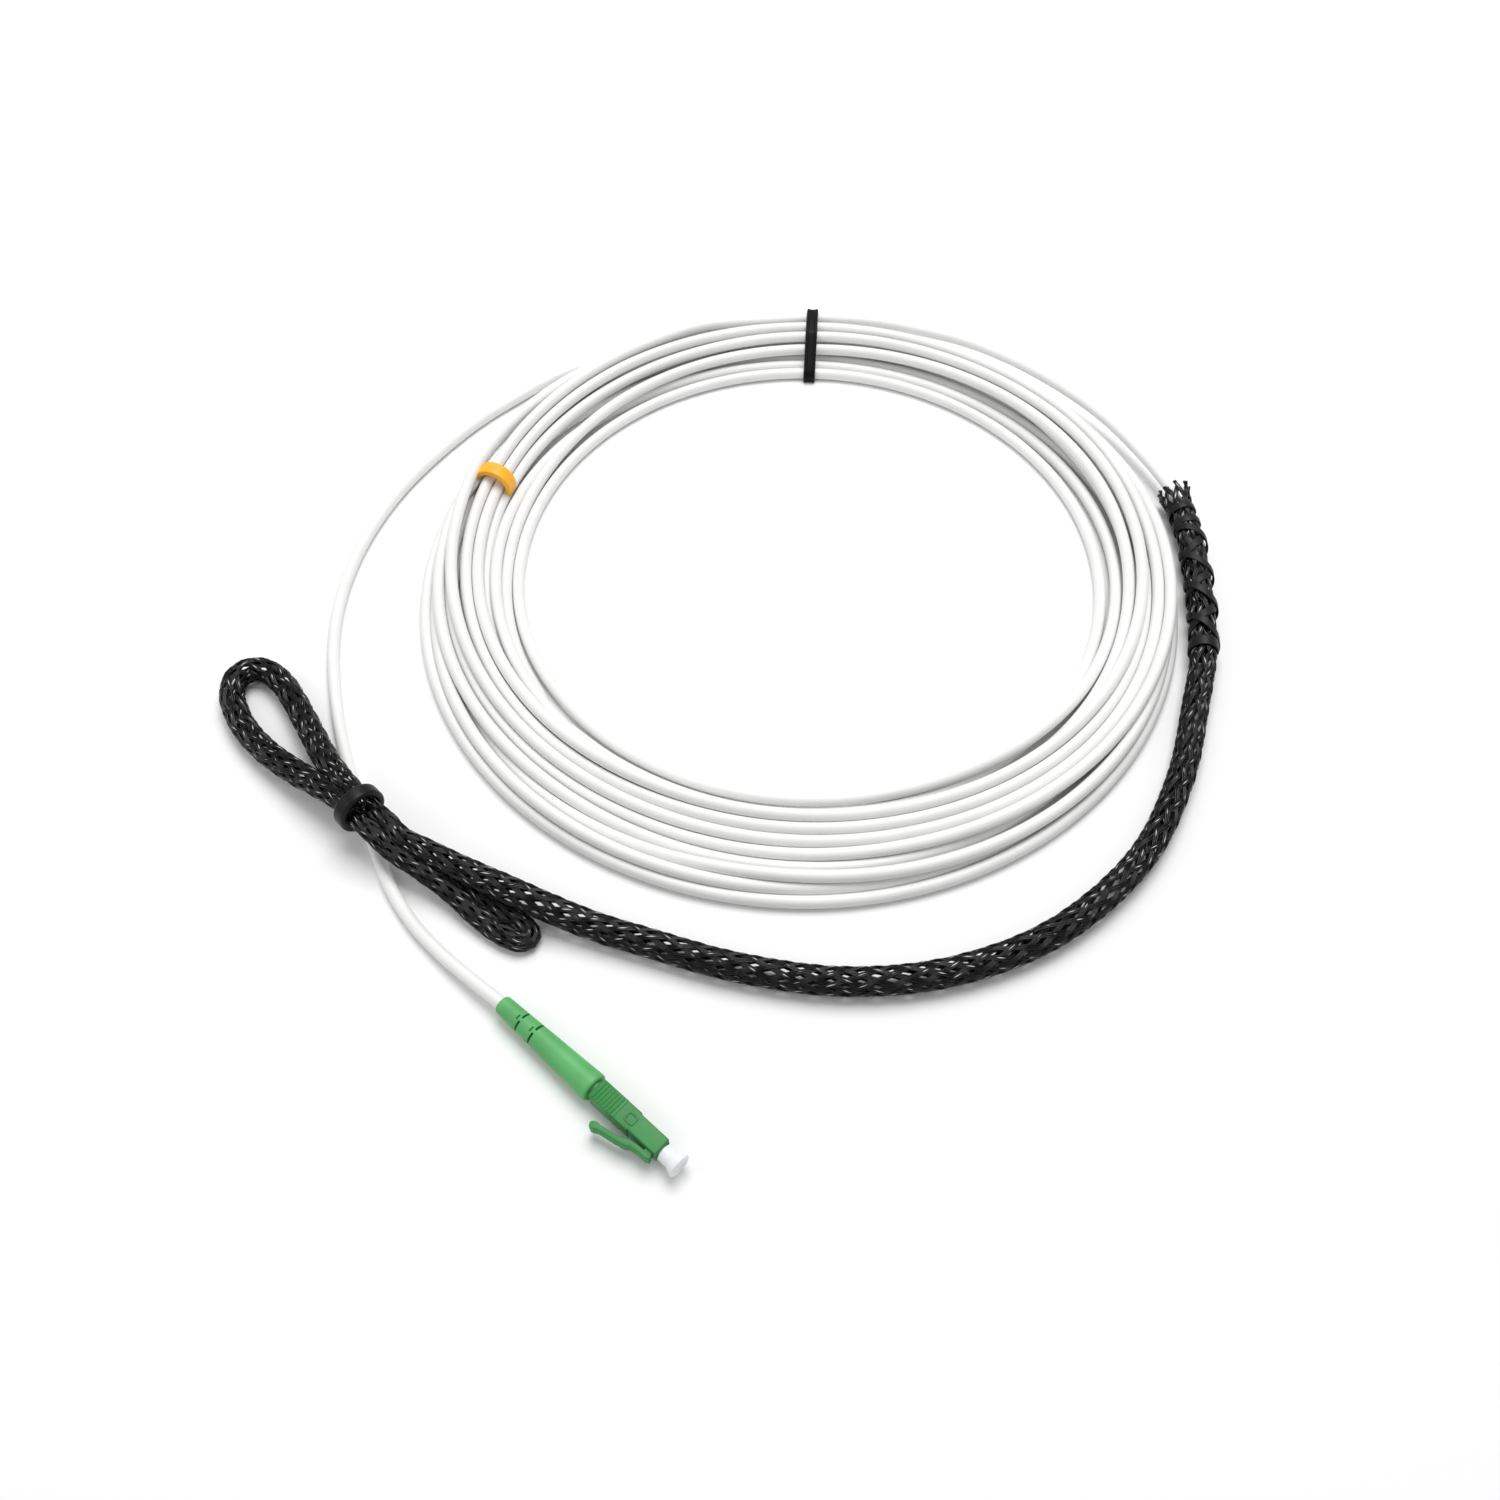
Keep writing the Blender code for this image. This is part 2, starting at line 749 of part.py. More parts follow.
def main():
    clear_scene()
    parts = new_collection("fibre_optic_cable")
    cutters = new_collection("cutters")
    make_coil(parts, cutters)
    make_tie(parts)
    marker_tube("marker_ring", 0.0, 32, YELLOW_RING, parts)
    make_leads(parts)
    make_connector(parts, cutters)
    run_points, loop, tail = make_sleeve(parts, cutters)
    make_band(parts)
    make_lashing(run_points, parts)
    bpy.context.view_layer.update()


main()
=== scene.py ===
"""A coiled fibre optic cable with its plug, marker ring, coil tie and braided pulling sleeve."""

import math
import random

import bmesh
import bpy
import numpy as np
from mathutils import Matrix, Vector


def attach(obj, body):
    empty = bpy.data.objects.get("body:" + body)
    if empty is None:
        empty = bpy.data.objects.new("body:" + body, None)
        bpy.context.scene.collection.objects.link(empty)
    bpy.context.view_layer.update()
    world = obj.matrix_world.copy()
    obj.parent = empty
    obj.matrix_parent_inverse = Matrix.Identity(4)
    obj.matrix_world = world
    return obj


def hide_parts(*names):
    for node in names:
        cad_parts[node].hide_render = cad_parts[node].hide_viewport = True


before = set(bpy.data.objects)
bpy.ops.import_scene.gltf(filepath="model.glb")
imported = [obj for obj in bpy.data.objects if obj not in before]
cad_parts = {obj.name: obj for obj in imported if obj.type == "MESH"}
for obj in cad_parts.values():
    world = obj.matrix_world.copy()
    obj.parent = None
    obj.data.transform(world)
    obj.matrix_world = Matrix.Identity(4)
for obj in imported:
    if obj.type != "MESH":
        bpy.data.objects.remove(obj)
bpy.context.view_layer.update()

bl_info = {
    "name": "Coiled Fibre Optic Cable",
    "version": (1, 0, 0),
    "blender": (4, 5, 0),
    "location": "3D View > Sidebar > Fibre Cable",
    "description": "Dresses a coiled fibre optic cable with its plug, ties and pulling sleeve",
    "category": "Object",
}

MM = 0.001

# The camera looks down along +Y at its target. Its lens and sensor are in mm, the rest in metres.
CAMERA_TARGET = (0.005, -0.0235, 0.0)
CAMERA_DOWN = 55.07
CAMERA_DISTANCE = 0.3336
CAMERA_LENS = 33.89
SENSOR_WIDTH = 36.0
FLOOR_HALF = 6.0

# Each lamp's name, place and size in metres, and its share of the key light's power
LAMPS = [
    ("overhead", (0.1, 0.4, 1.08), 0.75, 1.0),
    ("left", (-0.9, -0.1, 0.7), 0.6, 0.12),
]
SKY_STRENGTH = 0.49

# The coil's outer and inner circles, in mm, and the angle at which its turns are counted
OUTER_X, OUTER_Y, OUTER_R = 17.2, 29.7, 95.9
INNER_X, INNER_Y, INNER_R = 19.8, 33.5, 73.8
SEAM = 105

# The height of a turn's middle on the floor, and how much higher each layer starts, in mm
FLOOR_Z = 1.52
LAYER_Z = 2.8
TURN_WIDTH = 3.02
SETTLING_ROUNDS = 800

# One line a turn, from the sleeve's end of the coil to the plug's. At eight places round from the
# seam, each gives how far the turn starts from the coil's inner side, in mm, and in which layer.
TURNS = [
    ((20.5, 14.5, 11, 6, 6, 12, 15, 17), (2, 2, 1, 1, 1, 1, 1, 1)),
    ((17.5, 18, 15.5, 10.5, 11, 18, 21, 20.5), (1, 1, 1, 0, 1, 2, 2, 1)),
    ((21, 19, 13.5, 8.5, 8.5, 15, 18.5, 18.5), (1, 2, 2, 1, 1, 2, 2, 2)),
    ((15.5, 12.5, 8, 4, 3.5, 9.5, 15, 13.5), (2, 2, 1, 2, 1, 2, 2, 2)),
    ((11.5, 10.5, 6.5, 2.5, 1.5, 1.5, 1, 1), (2, 1, 0, 0, 0, 0, 0, 0)),
    ((1, 0.5, 1, -1, -1, 4, 7.5, 5), (0, 0, 0, 0, 1, 1, 0, 0)),
    ((4.5, 6.5, 4.5, 4, 4.5, 7, 10.5, 10), (0, 0, 1, 1, 0, 1, 2, 2)),
    ((8, 2.5, 3.5, 6, 8, 10, 11, 13), (1, 1, 0, 0, 0, 0, 1, 1)),
    ((13.5, 17, 18, 14, 13.5, 15, 11.5, 8.5), (1, 2, 2, 1, 0, 0, 0, 0)),
    ((8, 12, 17, 17, 18.5, 20, 18.5, 13), (0, 0, 0, 0, 1, 1, 1, 0)),
    ((12.5, 16.5, 19.5, 20.5, 18.5, 18, 17, 17), (0, 0, 1, 1, 0, 0, 0, 0)),
    ((17, 20, 21, 21, 21, 21, 21, 20.5), (0, 0, 0, 0, 0, 0, 0, 0)),
]

# Places beside the coil: the angle round its outer circle, mm outside that circle, and the height,
# which is a turn's on the floor where none is given
SLEEVE_END = [
    (19.01, 7.5, 4.8), (26.66, 6.8, 5.0), (34.11, 6.3, 5.4), (42.16, 5.3, 5.9),
    (50.79, 4.4, 6.4), (59.21, 3.7, 6.6), (67.32, 2.5, 6.6), (76.0, 1.6, 6.8),
    (85.0, 0.3, 7.0), (94.0, -0.9, 7.2),
]
LEAD = [
    (86.0, -1.2), (96.0, -0.4), (105.0, 1.0), (114.93, 2.6),
    (124.31, 4.7), (131.36, 6.6), (138.60, 7.7), (146.48, 9.7),
    (154.91, 11.9), (163.58, 14.8), (171.62, 17.3), (178.81, 19.3),
    (185.46, 20.8), (191.82, 21.8), (197.95, 22.6), (204.60, 24.0),
    (211.01, 25.8), (215.84, 27.6), (219.79, 29.6), (224.65, 32.9),
    (229.42, 35.4), (233.82, 36.9, 1.9), (238.14, 38.2, 2.8),
]
RUN = [
    (14.47, 7.8, 4.85), (7.73, 6.7, 4.85), (0.73, 5.7, 4.85), (352.17, 5.4, 4.85),
    (343.92, 6.3, 4.8), (336.14, 7.2, 4.1), (323.61, 11.8, 3.3), (311.09, 17.0, 3.3),
    (297.91, 20.1, 3.3), (285.96, 20.5, 3.3), (274.34, 19.1, 3.3), (262.69, 16.5, 3.3),
    (251.22, 15.0, 3.3), (246.00, 15.6, 3.6), (240.93, 16.6, 4.6), (235.26, 18.3, 5.8),
    (229.66, 20.8, 6.7), (225.99, 22.8, 7.4), (222.91, 25.0, 8.2),
]
LOOP = [
    (209.54, 29.0, 7.0), (203.09, 30.3, 4.7), (197.18, 33.1, 3.4), (194.22, 36.8, 3.2),
    (193.34, 41.1, 3.2), (194.12, 44.7, 3.2), (195.90, 46.1, 3.2), (197.96, 45.8, 3.2),
    (200.92, 44.1, 3.3), (204.46, 40.8, 3.9), (208.15, 36.8, 5.2), (211.60, 33.5, 7.2),
]
TAIL = [
    (220.82, 29.2, 8.5), (223.28, 28.4, 7.0), (226.59, 26.5, 5.2), (230.29, 25.4, 3.5),
    (233.59, 25.8, 2.5), (236.04, 26.1, 1.95), (238.19, 26.1, 1.95), (239.65, 25.4, 1.95),
    (240.25, 23.8, 1.95), (239.65, 22.3, 1.95), (238.20, 21.8, 1.95), (236.70, 22.0, 1.95),
    (234.80, 22.1, 1.95), (232.30, 21.95, 1.9), (229.80, 22.1, 1.7), (227.60, 22.4, 1.6),
]

# The plug: the place of the boot's mouth beside the coil, and its turn. Along its axis, mm from
# that mouth, lie the boot, its slits, the body, and the latch's middle line as (along, aside).
PLUG = (242.03, 39.7, 3.4)
PLUG_TURN = -42.0
BOOT_LENGTH = 27.5
BODY_START = 29.2
BODY_LENGTH = 17.2
BODY_SIDE = 4.7
PLUG_FRONT = BODY_START + BODY_LENGTH
BOOT_SLITS = (5.6, 9.6)
BOOT_WEB = 97.0
BOOT_MOUTH_R = 2.05
BOOT_FLARE = 1.12
BOOT_EDGE = 0.6
SLIT_STEP = 0.85
SLIT_DEPTH = 0.6
RIBS = 7
RIB_STEP = 0.84
WINDOW_LENGTH = 2.5
WINDOW_HALF = 1.15
NOSE_BORE_R = 1.75
NOSE_BORE_DEPTH = 5.0
LATCH_LINE = [
    (45.7, -3.05), (44.6, -3.15), (42.8, -3.2), (41.2, -3.4),
    (39.8, -4.0), (38.2, -4.55), (36.6, -4.85), (34.6, -5.2),
    (33.2, -5.55), (32.2, -6.0),
]
LATCH_HALF_WIDE = 1.4

# The cap's outline before and after its rounded rim, as (mm past the plug's front, radius)
CAP_STEM = [(-7.5, 0.95), (-7.5, 1.45), (0.3, 1.45), (0.3, 1.93), (2.4, 1.97), (2.9, 2.1), (3.2, 2.3)]
CAP_DISH = [(4.7, 1.6), (4.58, 1.4), (4.54, 0.02)]

# The rubber band, the coil's tie, and the marker ring with the turns that it is centred on. Each
# ring's half width, outer and inner radius and rounded edge are in mm.
BAND = (217.22, 28.4, 9.1)
BAND_TURN = 134.4
BAND_RING = (1.8, 5.7, 4.15, 0.7)
BAND_NECK_SHIFT = 2.0
TIE_ANGLE = 86.4
TIE_REACH = 2.2
MARKER_ANGLE = 160.8
MARKER_TURNS = (0, 3)
MARKER_RING = (2.0, 5.3, 3.75, 0.4)
MARKER_SHIFT = (0.0, 0.0, -0.4)

# The sleeve's radius, how much it narrows or swells, and over what length, in mm
RUN_R, RUN_NARROWS, RUN_NECK = 3.25, 1.1, 45
NECK_R = 2.1
LOOP_SWELLS, LOOP_NECK = 0.95, 20
TAIL_SWELLS, TAIL_NECK, TAIL_FLAT = 0.3, 8, 0.84
FRAYED_LENGTH = 7

# Across the tie's face and out from it: a strap with a shallow groove between two rounded rims
TIE_SECTION = [
    (-1.6, 0.0), (1.6, 0.0), (1.65, 0.5), (1.5, 0.92),
    (1.2, 1.1), (0.85, 1.05), (0.65, 0.88), (-0.65, 0.88),
    (-0.85, 1.05), (-1.2, 1.1), (-1.5, 0.92), (-1.65, 0.5),
]

# The lashing's winding: mm along the sleeve from its mouth, and turns round it
WINDING = [
    (6.3, 2.0), (6.9, 1.0), (11.2, 0.5), (12.4, -0.2),
    (20.2, -0.75), (32.0, -1.75), (43.6, -2.75), (51.6, -3.4),
    (53.4, -5.3), (47.0, -5.75), (36.6, -6.75), (26.2, -7.75),
    (15.2, -8.75), (13.6, -8.95),
]
LASHING_R = 3.3
LASHING_WAVE = 1.6
CORD_HALF_WIDE = 0.98
CORD_HALF_THICK = 0.24


# Materials


class Signal:
    """A socket of a finish's nodes. Arithmetic on it adds Math nodes."""

    def __init__(self, finish, socket):
        self.finish = finish
        self.socket = socket

    def math(self, operation, *values):
        return self.finish.node("ShaderNodeMath", {"operation": operation}, dict(enumerate(values)))

    def __add__(self, other):
        return self.math("ADD", self, other)

    def __sub__(self, other):
        return self.math("SUBTRACT", self, other)

    def __rsub__(self, other):
        return self.math("SUBTRACT", other, self)

    def __mul__(self, other):
        return self.math("MULTIPLY", self, other)

    __radd__ = __add__
    __rmul__ = __mul__

    def ramp(self, low, high):
        """0 at low and 1 at high, eased."""
        settings = {"interpolation_type": "SMOOTHSTEP"}
        return self.finish.node("ShaderNodeMapRange", settings, {0: self, 1: low, 2: high})


class Finish:
    """One material, made of a Principled shader and the nodes that feed it."""

    def __init__(self, name, colour, roughness, **constants):
        self.material = bpy.data.materials.new(name)
        self.material.use_nodes = True
        self.tree = self.material.node_tree
        self.shader = self.tree.nodes["Principled BSDF"]
        self.set("Base Color", (*colour, 1.0))
        self.set("Roughness", roughness)
        for socket, value in constants.items():
            self.set(socket.replace("_", " "), value)

    def set(self, socket, value):
        self.feed(self.shader.inputs[socket], value)

    def feed(self, socket, value):
        if isinstance(value, Signal):
            self.tree.links.new(value.socket, socket)
        else:
            socket.default_value = value

    def node(self, kind, settings, inputs, output=0):
        made = self.tree.nodes.new(kind)
        for name, value in settings.items():
            setattr(made, name, value)
        for key, value in inputs.items():
            self.feed(made.inputs[key], value)
        return Signal(self, made.outputs[output])

    def place(self):
        """The point on the piece, in metres."""
        return self.node("ShaderNodeTexCoord", {}, {}, "Object")

    def attribute(self, name, output="Fac"):
        return self.node("ShaderNodeAttribute", {"attribute_name": name}, {}, output)

    def noise(self, scale, detail=2.0, where=None):
        inputs = {"Vector": where or self.place(), "Scale": scale, "Detail": detail}
        return self.node("ShaderNodeTexNoise", {}, inputs)

    def stretched(self, where, scale):
        return self.node("ShaderNodeMapping", {}, {"Vector": where, "Scale": scale})

    def blend(self, share, first, second):
        """A colour between two, which are colours or signals."""
        ends = [end if isinstance(end, Signal) else (*end, 1.0) for end in (first, second)]
        return self.node("ShaderNodeMix", {"data_type": "RGBA"}, {0: share, 6: ends[0], 7: ends[1]}, 2)

    def mottled(self, share, colour, factor):
        """A colour that turns darker or paler by a factor as share goes to 1."""
        return self.blend(share, colour, [part * factor for part in colour])

    def bump(self, height, depth, strength):
        inputs = {"Height": height, "Distance": depth, "Strength": strength}
        self.set("Normal", self.node("ShaderNodeBump", {}, inputs))

    def dressed(self, colour, roughness, height, depth, strength):
        """The material, with its colour, roughness and relief."""
        self.set("Base Color", colour)
        self.set("Roughness", roughness)
        self.bump(height, depth, strength)
        return self.material


def white_jacket(settings):
    finish = Finish("white_cable_jacket", settings.jacket, 0.46, Specular_IOR_Level=0.45)
    lay = finish.attribute("lay", "Vector")
    drawn = finish.noise(1.0, 3.0, finish.stretched(lay, (9.0, 260.0, 1.0)))
    patches = finish.noise(60.0, 3.0)
    tone = finish.mottled(patches.ramp(0.35, 0.7), settings.jacket, 0.955)
    dust = finish.noise(900.0, 2.0).ramp(0.66, 0.78)
    tone = finish.blend(dust * 0.10, tone, (0.55, 0.54, 0.52))
    relief = drawn * 0.6 + finish.noise(700.0, 2.0) * 0.4
    return finish.dressed(tone, 0.40 + drawn * 0.14, relief, 0.00003, 0.35)


def black_filament(settings):
    """Black, with painted highlights on the crowns: pale flecks in place of glints and of light seen
    through openings.
    """
    finish = Finish("black_sleeve_filament", settings.braid, 0.2, Specular_IOR_Level=0.33)
    grain = finish.noise(450.0, 3.0)
    black = finish.mottled(grain.ramp(0.3, 0.75), settings.braid, 2.5)
    # Painted highlight: the crowns are painted pale grey, in place of glints and of light seen through
    # openings
    fleck = finish.attribute("fleck") * finish.noise(260.0, 1.0).ramp(0.3, 0.6)
    tone = finish.blend(fleck.ramp(0.32, 0.7), black, (0.6, 0.6, 0.6))
    return finish.dressed(tone, 0.08 + grain * 0.12, finish.noise(2600.0, 2.0), 0.00002, 0.3)


def black_lashing(settings):
    finish = Finish("black_waxed_lashing", settings.lashing, 0.5, Specular_IOR_Level=0.3)
    lay = finish.attribute("lay", "Vector")
    ribs = finish.node(
        "ShaderNodeTexWave",
        {"wave_type": "BANDS", "bands_direction": "Y"},
        {"Vector": lay, "Scale": 950.0, "Distortion": 0.6, "Detail": 2.0},
    )
    fibres = finish.noise(1.0, 3.0, finish.stretched(lay, (500.0, 4000.0, 1.0)))
    tone = finish.blend(fibres.ramp(0.35, 0.7), settings.lashing, (0.006, 0.006, 0.0064))
    return finish.dressed(tone, 0.3 + fibres * 0.25, ribs * 0.5 + fibres * 0.5, 0.00006, 0.5)


def black_rubber(settings):
    finish = Finish("black_band_rubber", settings.rubber, 0.5, Specular_IOR_Level=0.2)
    cloud = finish.noise(180.0, 3.0).ramp(0.45, 0.75)
    tone = finish.blend(cloud, settings.rubber, (0.010, 0.010, 0.011))
    return finish.dressed(tone, 0.36 + cloud * 0.18, finish.noise(1500.0, 4.0), 0.00004, 0.35)


def black_tie_plastic(settings):
    finish = Finish("black_tie_plastic", settings.tie, 0.42, Specular_IOR_Level=0.13)
    lay = finish.attribute("lay", "Vector")
    brushed = finish.noise(1.0, 3.0, finish.stretched(lay, (90.0, 2400.0, 1.0)))
    tone = finish.blend(brushed, settings.tie, (0.005, 0.005, 0.0053))
    return finish.dressed(tone, 0.34 + brushed * 0.2, brushed, 0.00004, 0.4)


def yellow_marker_plastic(settings):
    finish = Finish(
        "yellow_marker_plastic", settings.marker, 0.42, Subsurface_Weight=0.06, Subsurface_Scale=0.002
    )
    cloud = finish.noise(260.0, 3.0)
    warm = [part * share for part, share in zip(settings.marker, (1.0, 0.86, 0.7))]
    tone = finish.blend(cloud.ramp(0.4, 0.75), settings.marker, warm)
    return finish.dressed(tone, 0.36 + cloud * 0.16, finish.noise(2100.0, 2.0), 0.00003, 0.35)


def light_green_rubber(settings):
    finish = Finish("light_green_boot_rubber", settings.boot, 0.5)
    cloud = finish.noise(150.0, 3.0)
    # Painted shade: darker green where the slits lie deep, and on the neck ring between boot and body
    pit = finish.attribute("pit")
    tone = finish.mottled(cloud.ramp(0.35, 0.7), settings.boot, 0.86)
    tone = finish.blend(pit * 0.9, tone, (0.015, 0.06, 0.024))
    return finish.dressed(tone, 0.42 + cloud * 0.16, finish.noise(2400.0, 3.0), 0.00003, 0.4)


def green_plug_plastic(settings):
    finish = Finish("green_plug_plastic", settings.plug, 0.4, Specular_IOR_Level=0.35)
    cloud = finish.noise(120.0, 3.0)
    sparks = finish.noise(3000.0, 3.0)
    tone = finish.mottled(cloud.ramp(0.35, 0.7), settings.plug, 0.8)
    return finish.dressed(tone, 0.36 + sparks * 0.2, sparks, 0.00003, 0.4)


def white_cap_plastic(settings):
    finish = Finish(
        "white_cap_plastic", settings.cap, 0.36, Subsurface_Weight=0.15, Subsurface_Scale=0.002
    )
    cloud = finish.noise(220.0, 3.0)
    tone = finish.mottled(cloud.ramp(0.4, 0.75), settings.cap, 0.95)
    return finish.dressed(tone, 0.3 + cloud * 0.14, finish.noise(1800.0, 2.0), 0.00002, 0.3)


def white_ceramic():
    finish = Finish("white_ferrule_ceramic", (0.88, 0.88, 0.85), 0.15, Coat_Weight=0.3)
    polish = finish.noise(800.0, 2.0)
    finish.set("Roughness", 0.1 + polish * 0.12)
    finish.set("Base Color", finish.blend(polish, (0.9, 0.9, 0.87), (0.84, 0.84, 0.8)))
    return finish.material


def pale_floor(settings):
    finish = Finish("pale_studio_floor", settings.floor, 0.75)
    cloud = finish.noise(2.0, 2.0)
    finish.set("Base Color", finish.mottled(cloud, settings.floor, 0.985))
    return finish.material


# Shapes


def beside(angle, out, z=FLOOR_Z):
    """The point at an angle in degrees round the coil's outer circle, out mm outside it, in mm."""
    turn = math.radians(angle)
    reach = OUTER_R + out
    return np.array((OUTER_X + reach * math.cos(turn), OUTER_Y + reach * math.sin(turn), z))


def across(share, angle, z):
    """The point share of the way from the coil's inner circle to its outer one, in mm."""
    turn = math.radians(angle)
    radius = INNER_R + (OUTER_R - INNER_R) * share
    x = INNER_X + (OUTER_X - INNER_X) * share + radius * math.cos(turn)
    y = INNER_Y + (OUTER_Y - INNER_Y) * share + radius * math.sin(turn)
    return np.array((x, y, z))


def smooth_line(points, spacing):
    """Points about every spacing along the smooth curve through these."""
    knots = np.array(points, float)
    knots = np.vstack((2 * knots[0] - knots[1], knots, 2 * knots[-1] - knots[-2]))
    before, start, end, after = (knots[i : len(knots) - 3 + i, None] for i in range(4))
    t = np.linspace(0, 1, 16, endpoint=False)[None, :, None]
    line = 0.5 * (
        2 * start
        + (end - before) * t
        + (2 * before - 5 * start + 4 * end - after) * t**2
        + (3 * start - before - 3 * end + after) * t**3
    )
    line = np.vstack((line.reshape(-1, 3), knots[-2]))
    far = lengths_of(line)
    count = max(2, round(far[-1] / spacing))
    return read_at(np.linspace(0, far[-1], count + 1), line, line)[0]


def lengths_of(line):
    """How far along the line each of its points is."""
    return np.concatenate(([0.0], np.cumsum(np.linalg.norm(np.diff(line, axis=0), axis=1))))


def frames_of(line):
    """The side and up directions at each point of a line that never stands upright."""
    ahead = unit(np.gradient(line, axis=0))
    side = unit(np.cross(ahead, (0.0, 0.0, 1.0)))
    return side, np.cross(side, ahead)


def unit(vectors):
    """The vectors at length one. One that has no length stays as it is."""
    return vectors / np.maximum(np.linalg.norm(vectors, axis=1), 1e-9)[:, None]


def full_turn(steps):
    """The angles, in radians, that divide a full turn into even steps."""
    return np.linspace(0, 2 * np.pi, steps, endpoint=False)


def heading(angle):
    """The level direction at this angle in degrees, and the one a quarter turn clockwise from it."""
    x, y = math.cos(math.radians(angle)), math.sin(math.radians(angle))
    return np.array((x, y, 0.0)), np.array((y, -x, 0.0))


def set_down(place, angle):
    """The matrix that turns a shape about Z, in degrees, and moves it to a place."""
    return Matrix.Translation(Vector(place)) @ Matrix.Rotation(math.radians(angle), 4, "Z")


def read_at(at, line, *values):
    """The values given for a line's points, read at these distances along it."""
    far = lengths_of(line)
    return [np.stack([np.interp(at, far, each[:, axis]) for axis in range(3)], axis=-1) for each in values]


def eased(share):
    """Rises from 0 to 1 with a soft start and a soft end."""
    share = np.clip(share, 0, 1)
    return share * share * (3 - 2 * share)


class Skin:
    """Collects the points and faces of one mesh, in mm."""

    def __init__(self):
        self.points = []
        self.faces = []
        self.marks = {}

    def count(self):
        return sum(len(block) for block in self.points)

    def tube(self, rings, closed=True, caps=True, **marks):
        """Joins rings of points, an array of rings x around x 3."""
        rings = np.asarray(rings, float)
        number, around = rings.shape[:2]
        start = self.count()
        self.points.append(rings.reshape(-1, 3))
        for name, values in marks.items():
            self.marks.setdefault(name, []).append(np.asarray(values, float).reshape(number * around, -1))
        index = start + np.arange(number * around).reshape(number, around)
        last = around if closed else around - 1
        here = index[:-1, :last]
        beside_it = np.roll(index, -1, axis=1)[:-1, :last]
        ahead = index[1:, :last]
        ahead_beside = np.roll(index, -1, axis=1)[1:, :last]
        quads = np.stack((here, beside_it, ahead_beside, ahead), axis=-1).reshape(-1, 4)
        self.faces += quads.tolist()
        if caps:
            self.faces.append(index[0, ::-1].tolist())
            self.faces.append(index[-1].tolist())

    def make(self, name, material, body, smooth=50.0):
        """Makes the piece. Its edges of more than smooth degrees stay sharp."""
        mesh = bpy.data.meshes.new(name)
        points = np.vstack(self.points) * MM
        mesh.from_pydata(points.tolist(), [], self.faces)
        for mark, blocks in self.marks.items():
            values = np.vstack(blocks)
            kind, field = ("FLOAT", "value") if values.shape[1] == 1 else ("FLOAT_VECTOR", "vector")
            mesh.attributes.new(mark, kind, "POINT").data.foreach_set(field, values.ravel())
        turned_out(mesh)
        mesh.materials.append(material)
        mesh.shade_smooth()
        mesh.set_sharp_from_angle(angle=math.radians(smooth))
        piece = bpy.data.objects.new(name, mesh)
        bpy.context.scene.collection.objects.link(piece)
        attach(piece, body)
        return piece


def turned_out(mesh):
    """Turns every face to the outside."""
    work = bmesh.new()
    work.from_mesh(mesh)
    bmesh.ops.recalc_face_normals(work, faces=work.faces)
    work.to_mesh(mesh)
    work.free()


def round_tube(line, radii, sides):
    """Rings of a tube round a line, with its lay for the finish: metres along and across."""
    side, up = frames_of(line)
    turn = full_turn(sides)
    radii = np.broadcast_to(np.asarray(radii, float), (len(line),))[:, None, None]
    rings = line[:, None] + radii * (
        side[:, None] * np.cos(turn)[None, :, None] + up[:, None] * np.sin(turn)[None, :, None]
    )
    along = np.repeat(lengths_of(line)[:, None], sides, axis=1)
    lay = np.stack((along * MM, np.broadcast_to(np.sin(turn) * 0.0015, along.shape), 0 * along), -1)
    return rings, lay


def turned(profile, steps, where):
    """Rings of a turned shape from (distance along, radius) points, placed by a matrix."""
    along, radius = np.array(profile, float).T
    return lathed(along, np.repeat(radius[:, None], steps, axis=1), where)


def lathed(along, reach, where):
    """Rings round an axis whose radius, reach, may differ all the way round, placed by a matrix."""
    turn = full_turn(reach.shape[1])
    stations = np.broadcast_to(along[:, None], reach.shape)
    return placed(np.stack((stations, reach * np.cos(turn), reach * np.sin(turn)), axis=-1), where)


def placed(points, where):
    """The points, carried by a matrix."""
    matrix = np.array(where)
    return np.asarray(points) @ matrix[:3, :3].T + matrix[:3, 3]


def rounded(corners, radius, steps=4):
    """A closed outline of (x, y) corners with each one rounded."""
    corners = np.array(corners, float)
    points = []
    for index, corner in enumerate(corners):
        before = corners[index - 1] - corner
        after = corners[(index + 1) % len(corners)] - corner
        reach = min(radius, np.linalg.norm(before) / 2, np.linalg.norm(after) / 2)
        start = corner + before / np.linalg.norm(before) * reach
        end = corner + after / np.linalg.norm(after) * reach
        for t in np.linspace(0, 1, steps + 1):
            points.append((1 - t) ** 2 * start + 2 * t * (1 - t) * corner + t**2 * end)
    return np.array(points)


def rounded_box(wide, high, radius, steps):
    """The rounded outline of a box from its half width and half height."""
    return rounded([(-wide, -high), (wide, -high), (wide, high), (-wide, high)], radius, steps)


def coil_width(angles):
    """How wide the coil is at these angles. Its inner circle isn't in the middle of its outer one."""
    turn = np.radians(angles)
    shift = (OUTER_X - INNER_X) * np.cos(turn) + (OUTER_Y - INNER_Y) * np.sin(turn)
    return OUTER_R - INNER_R + shift


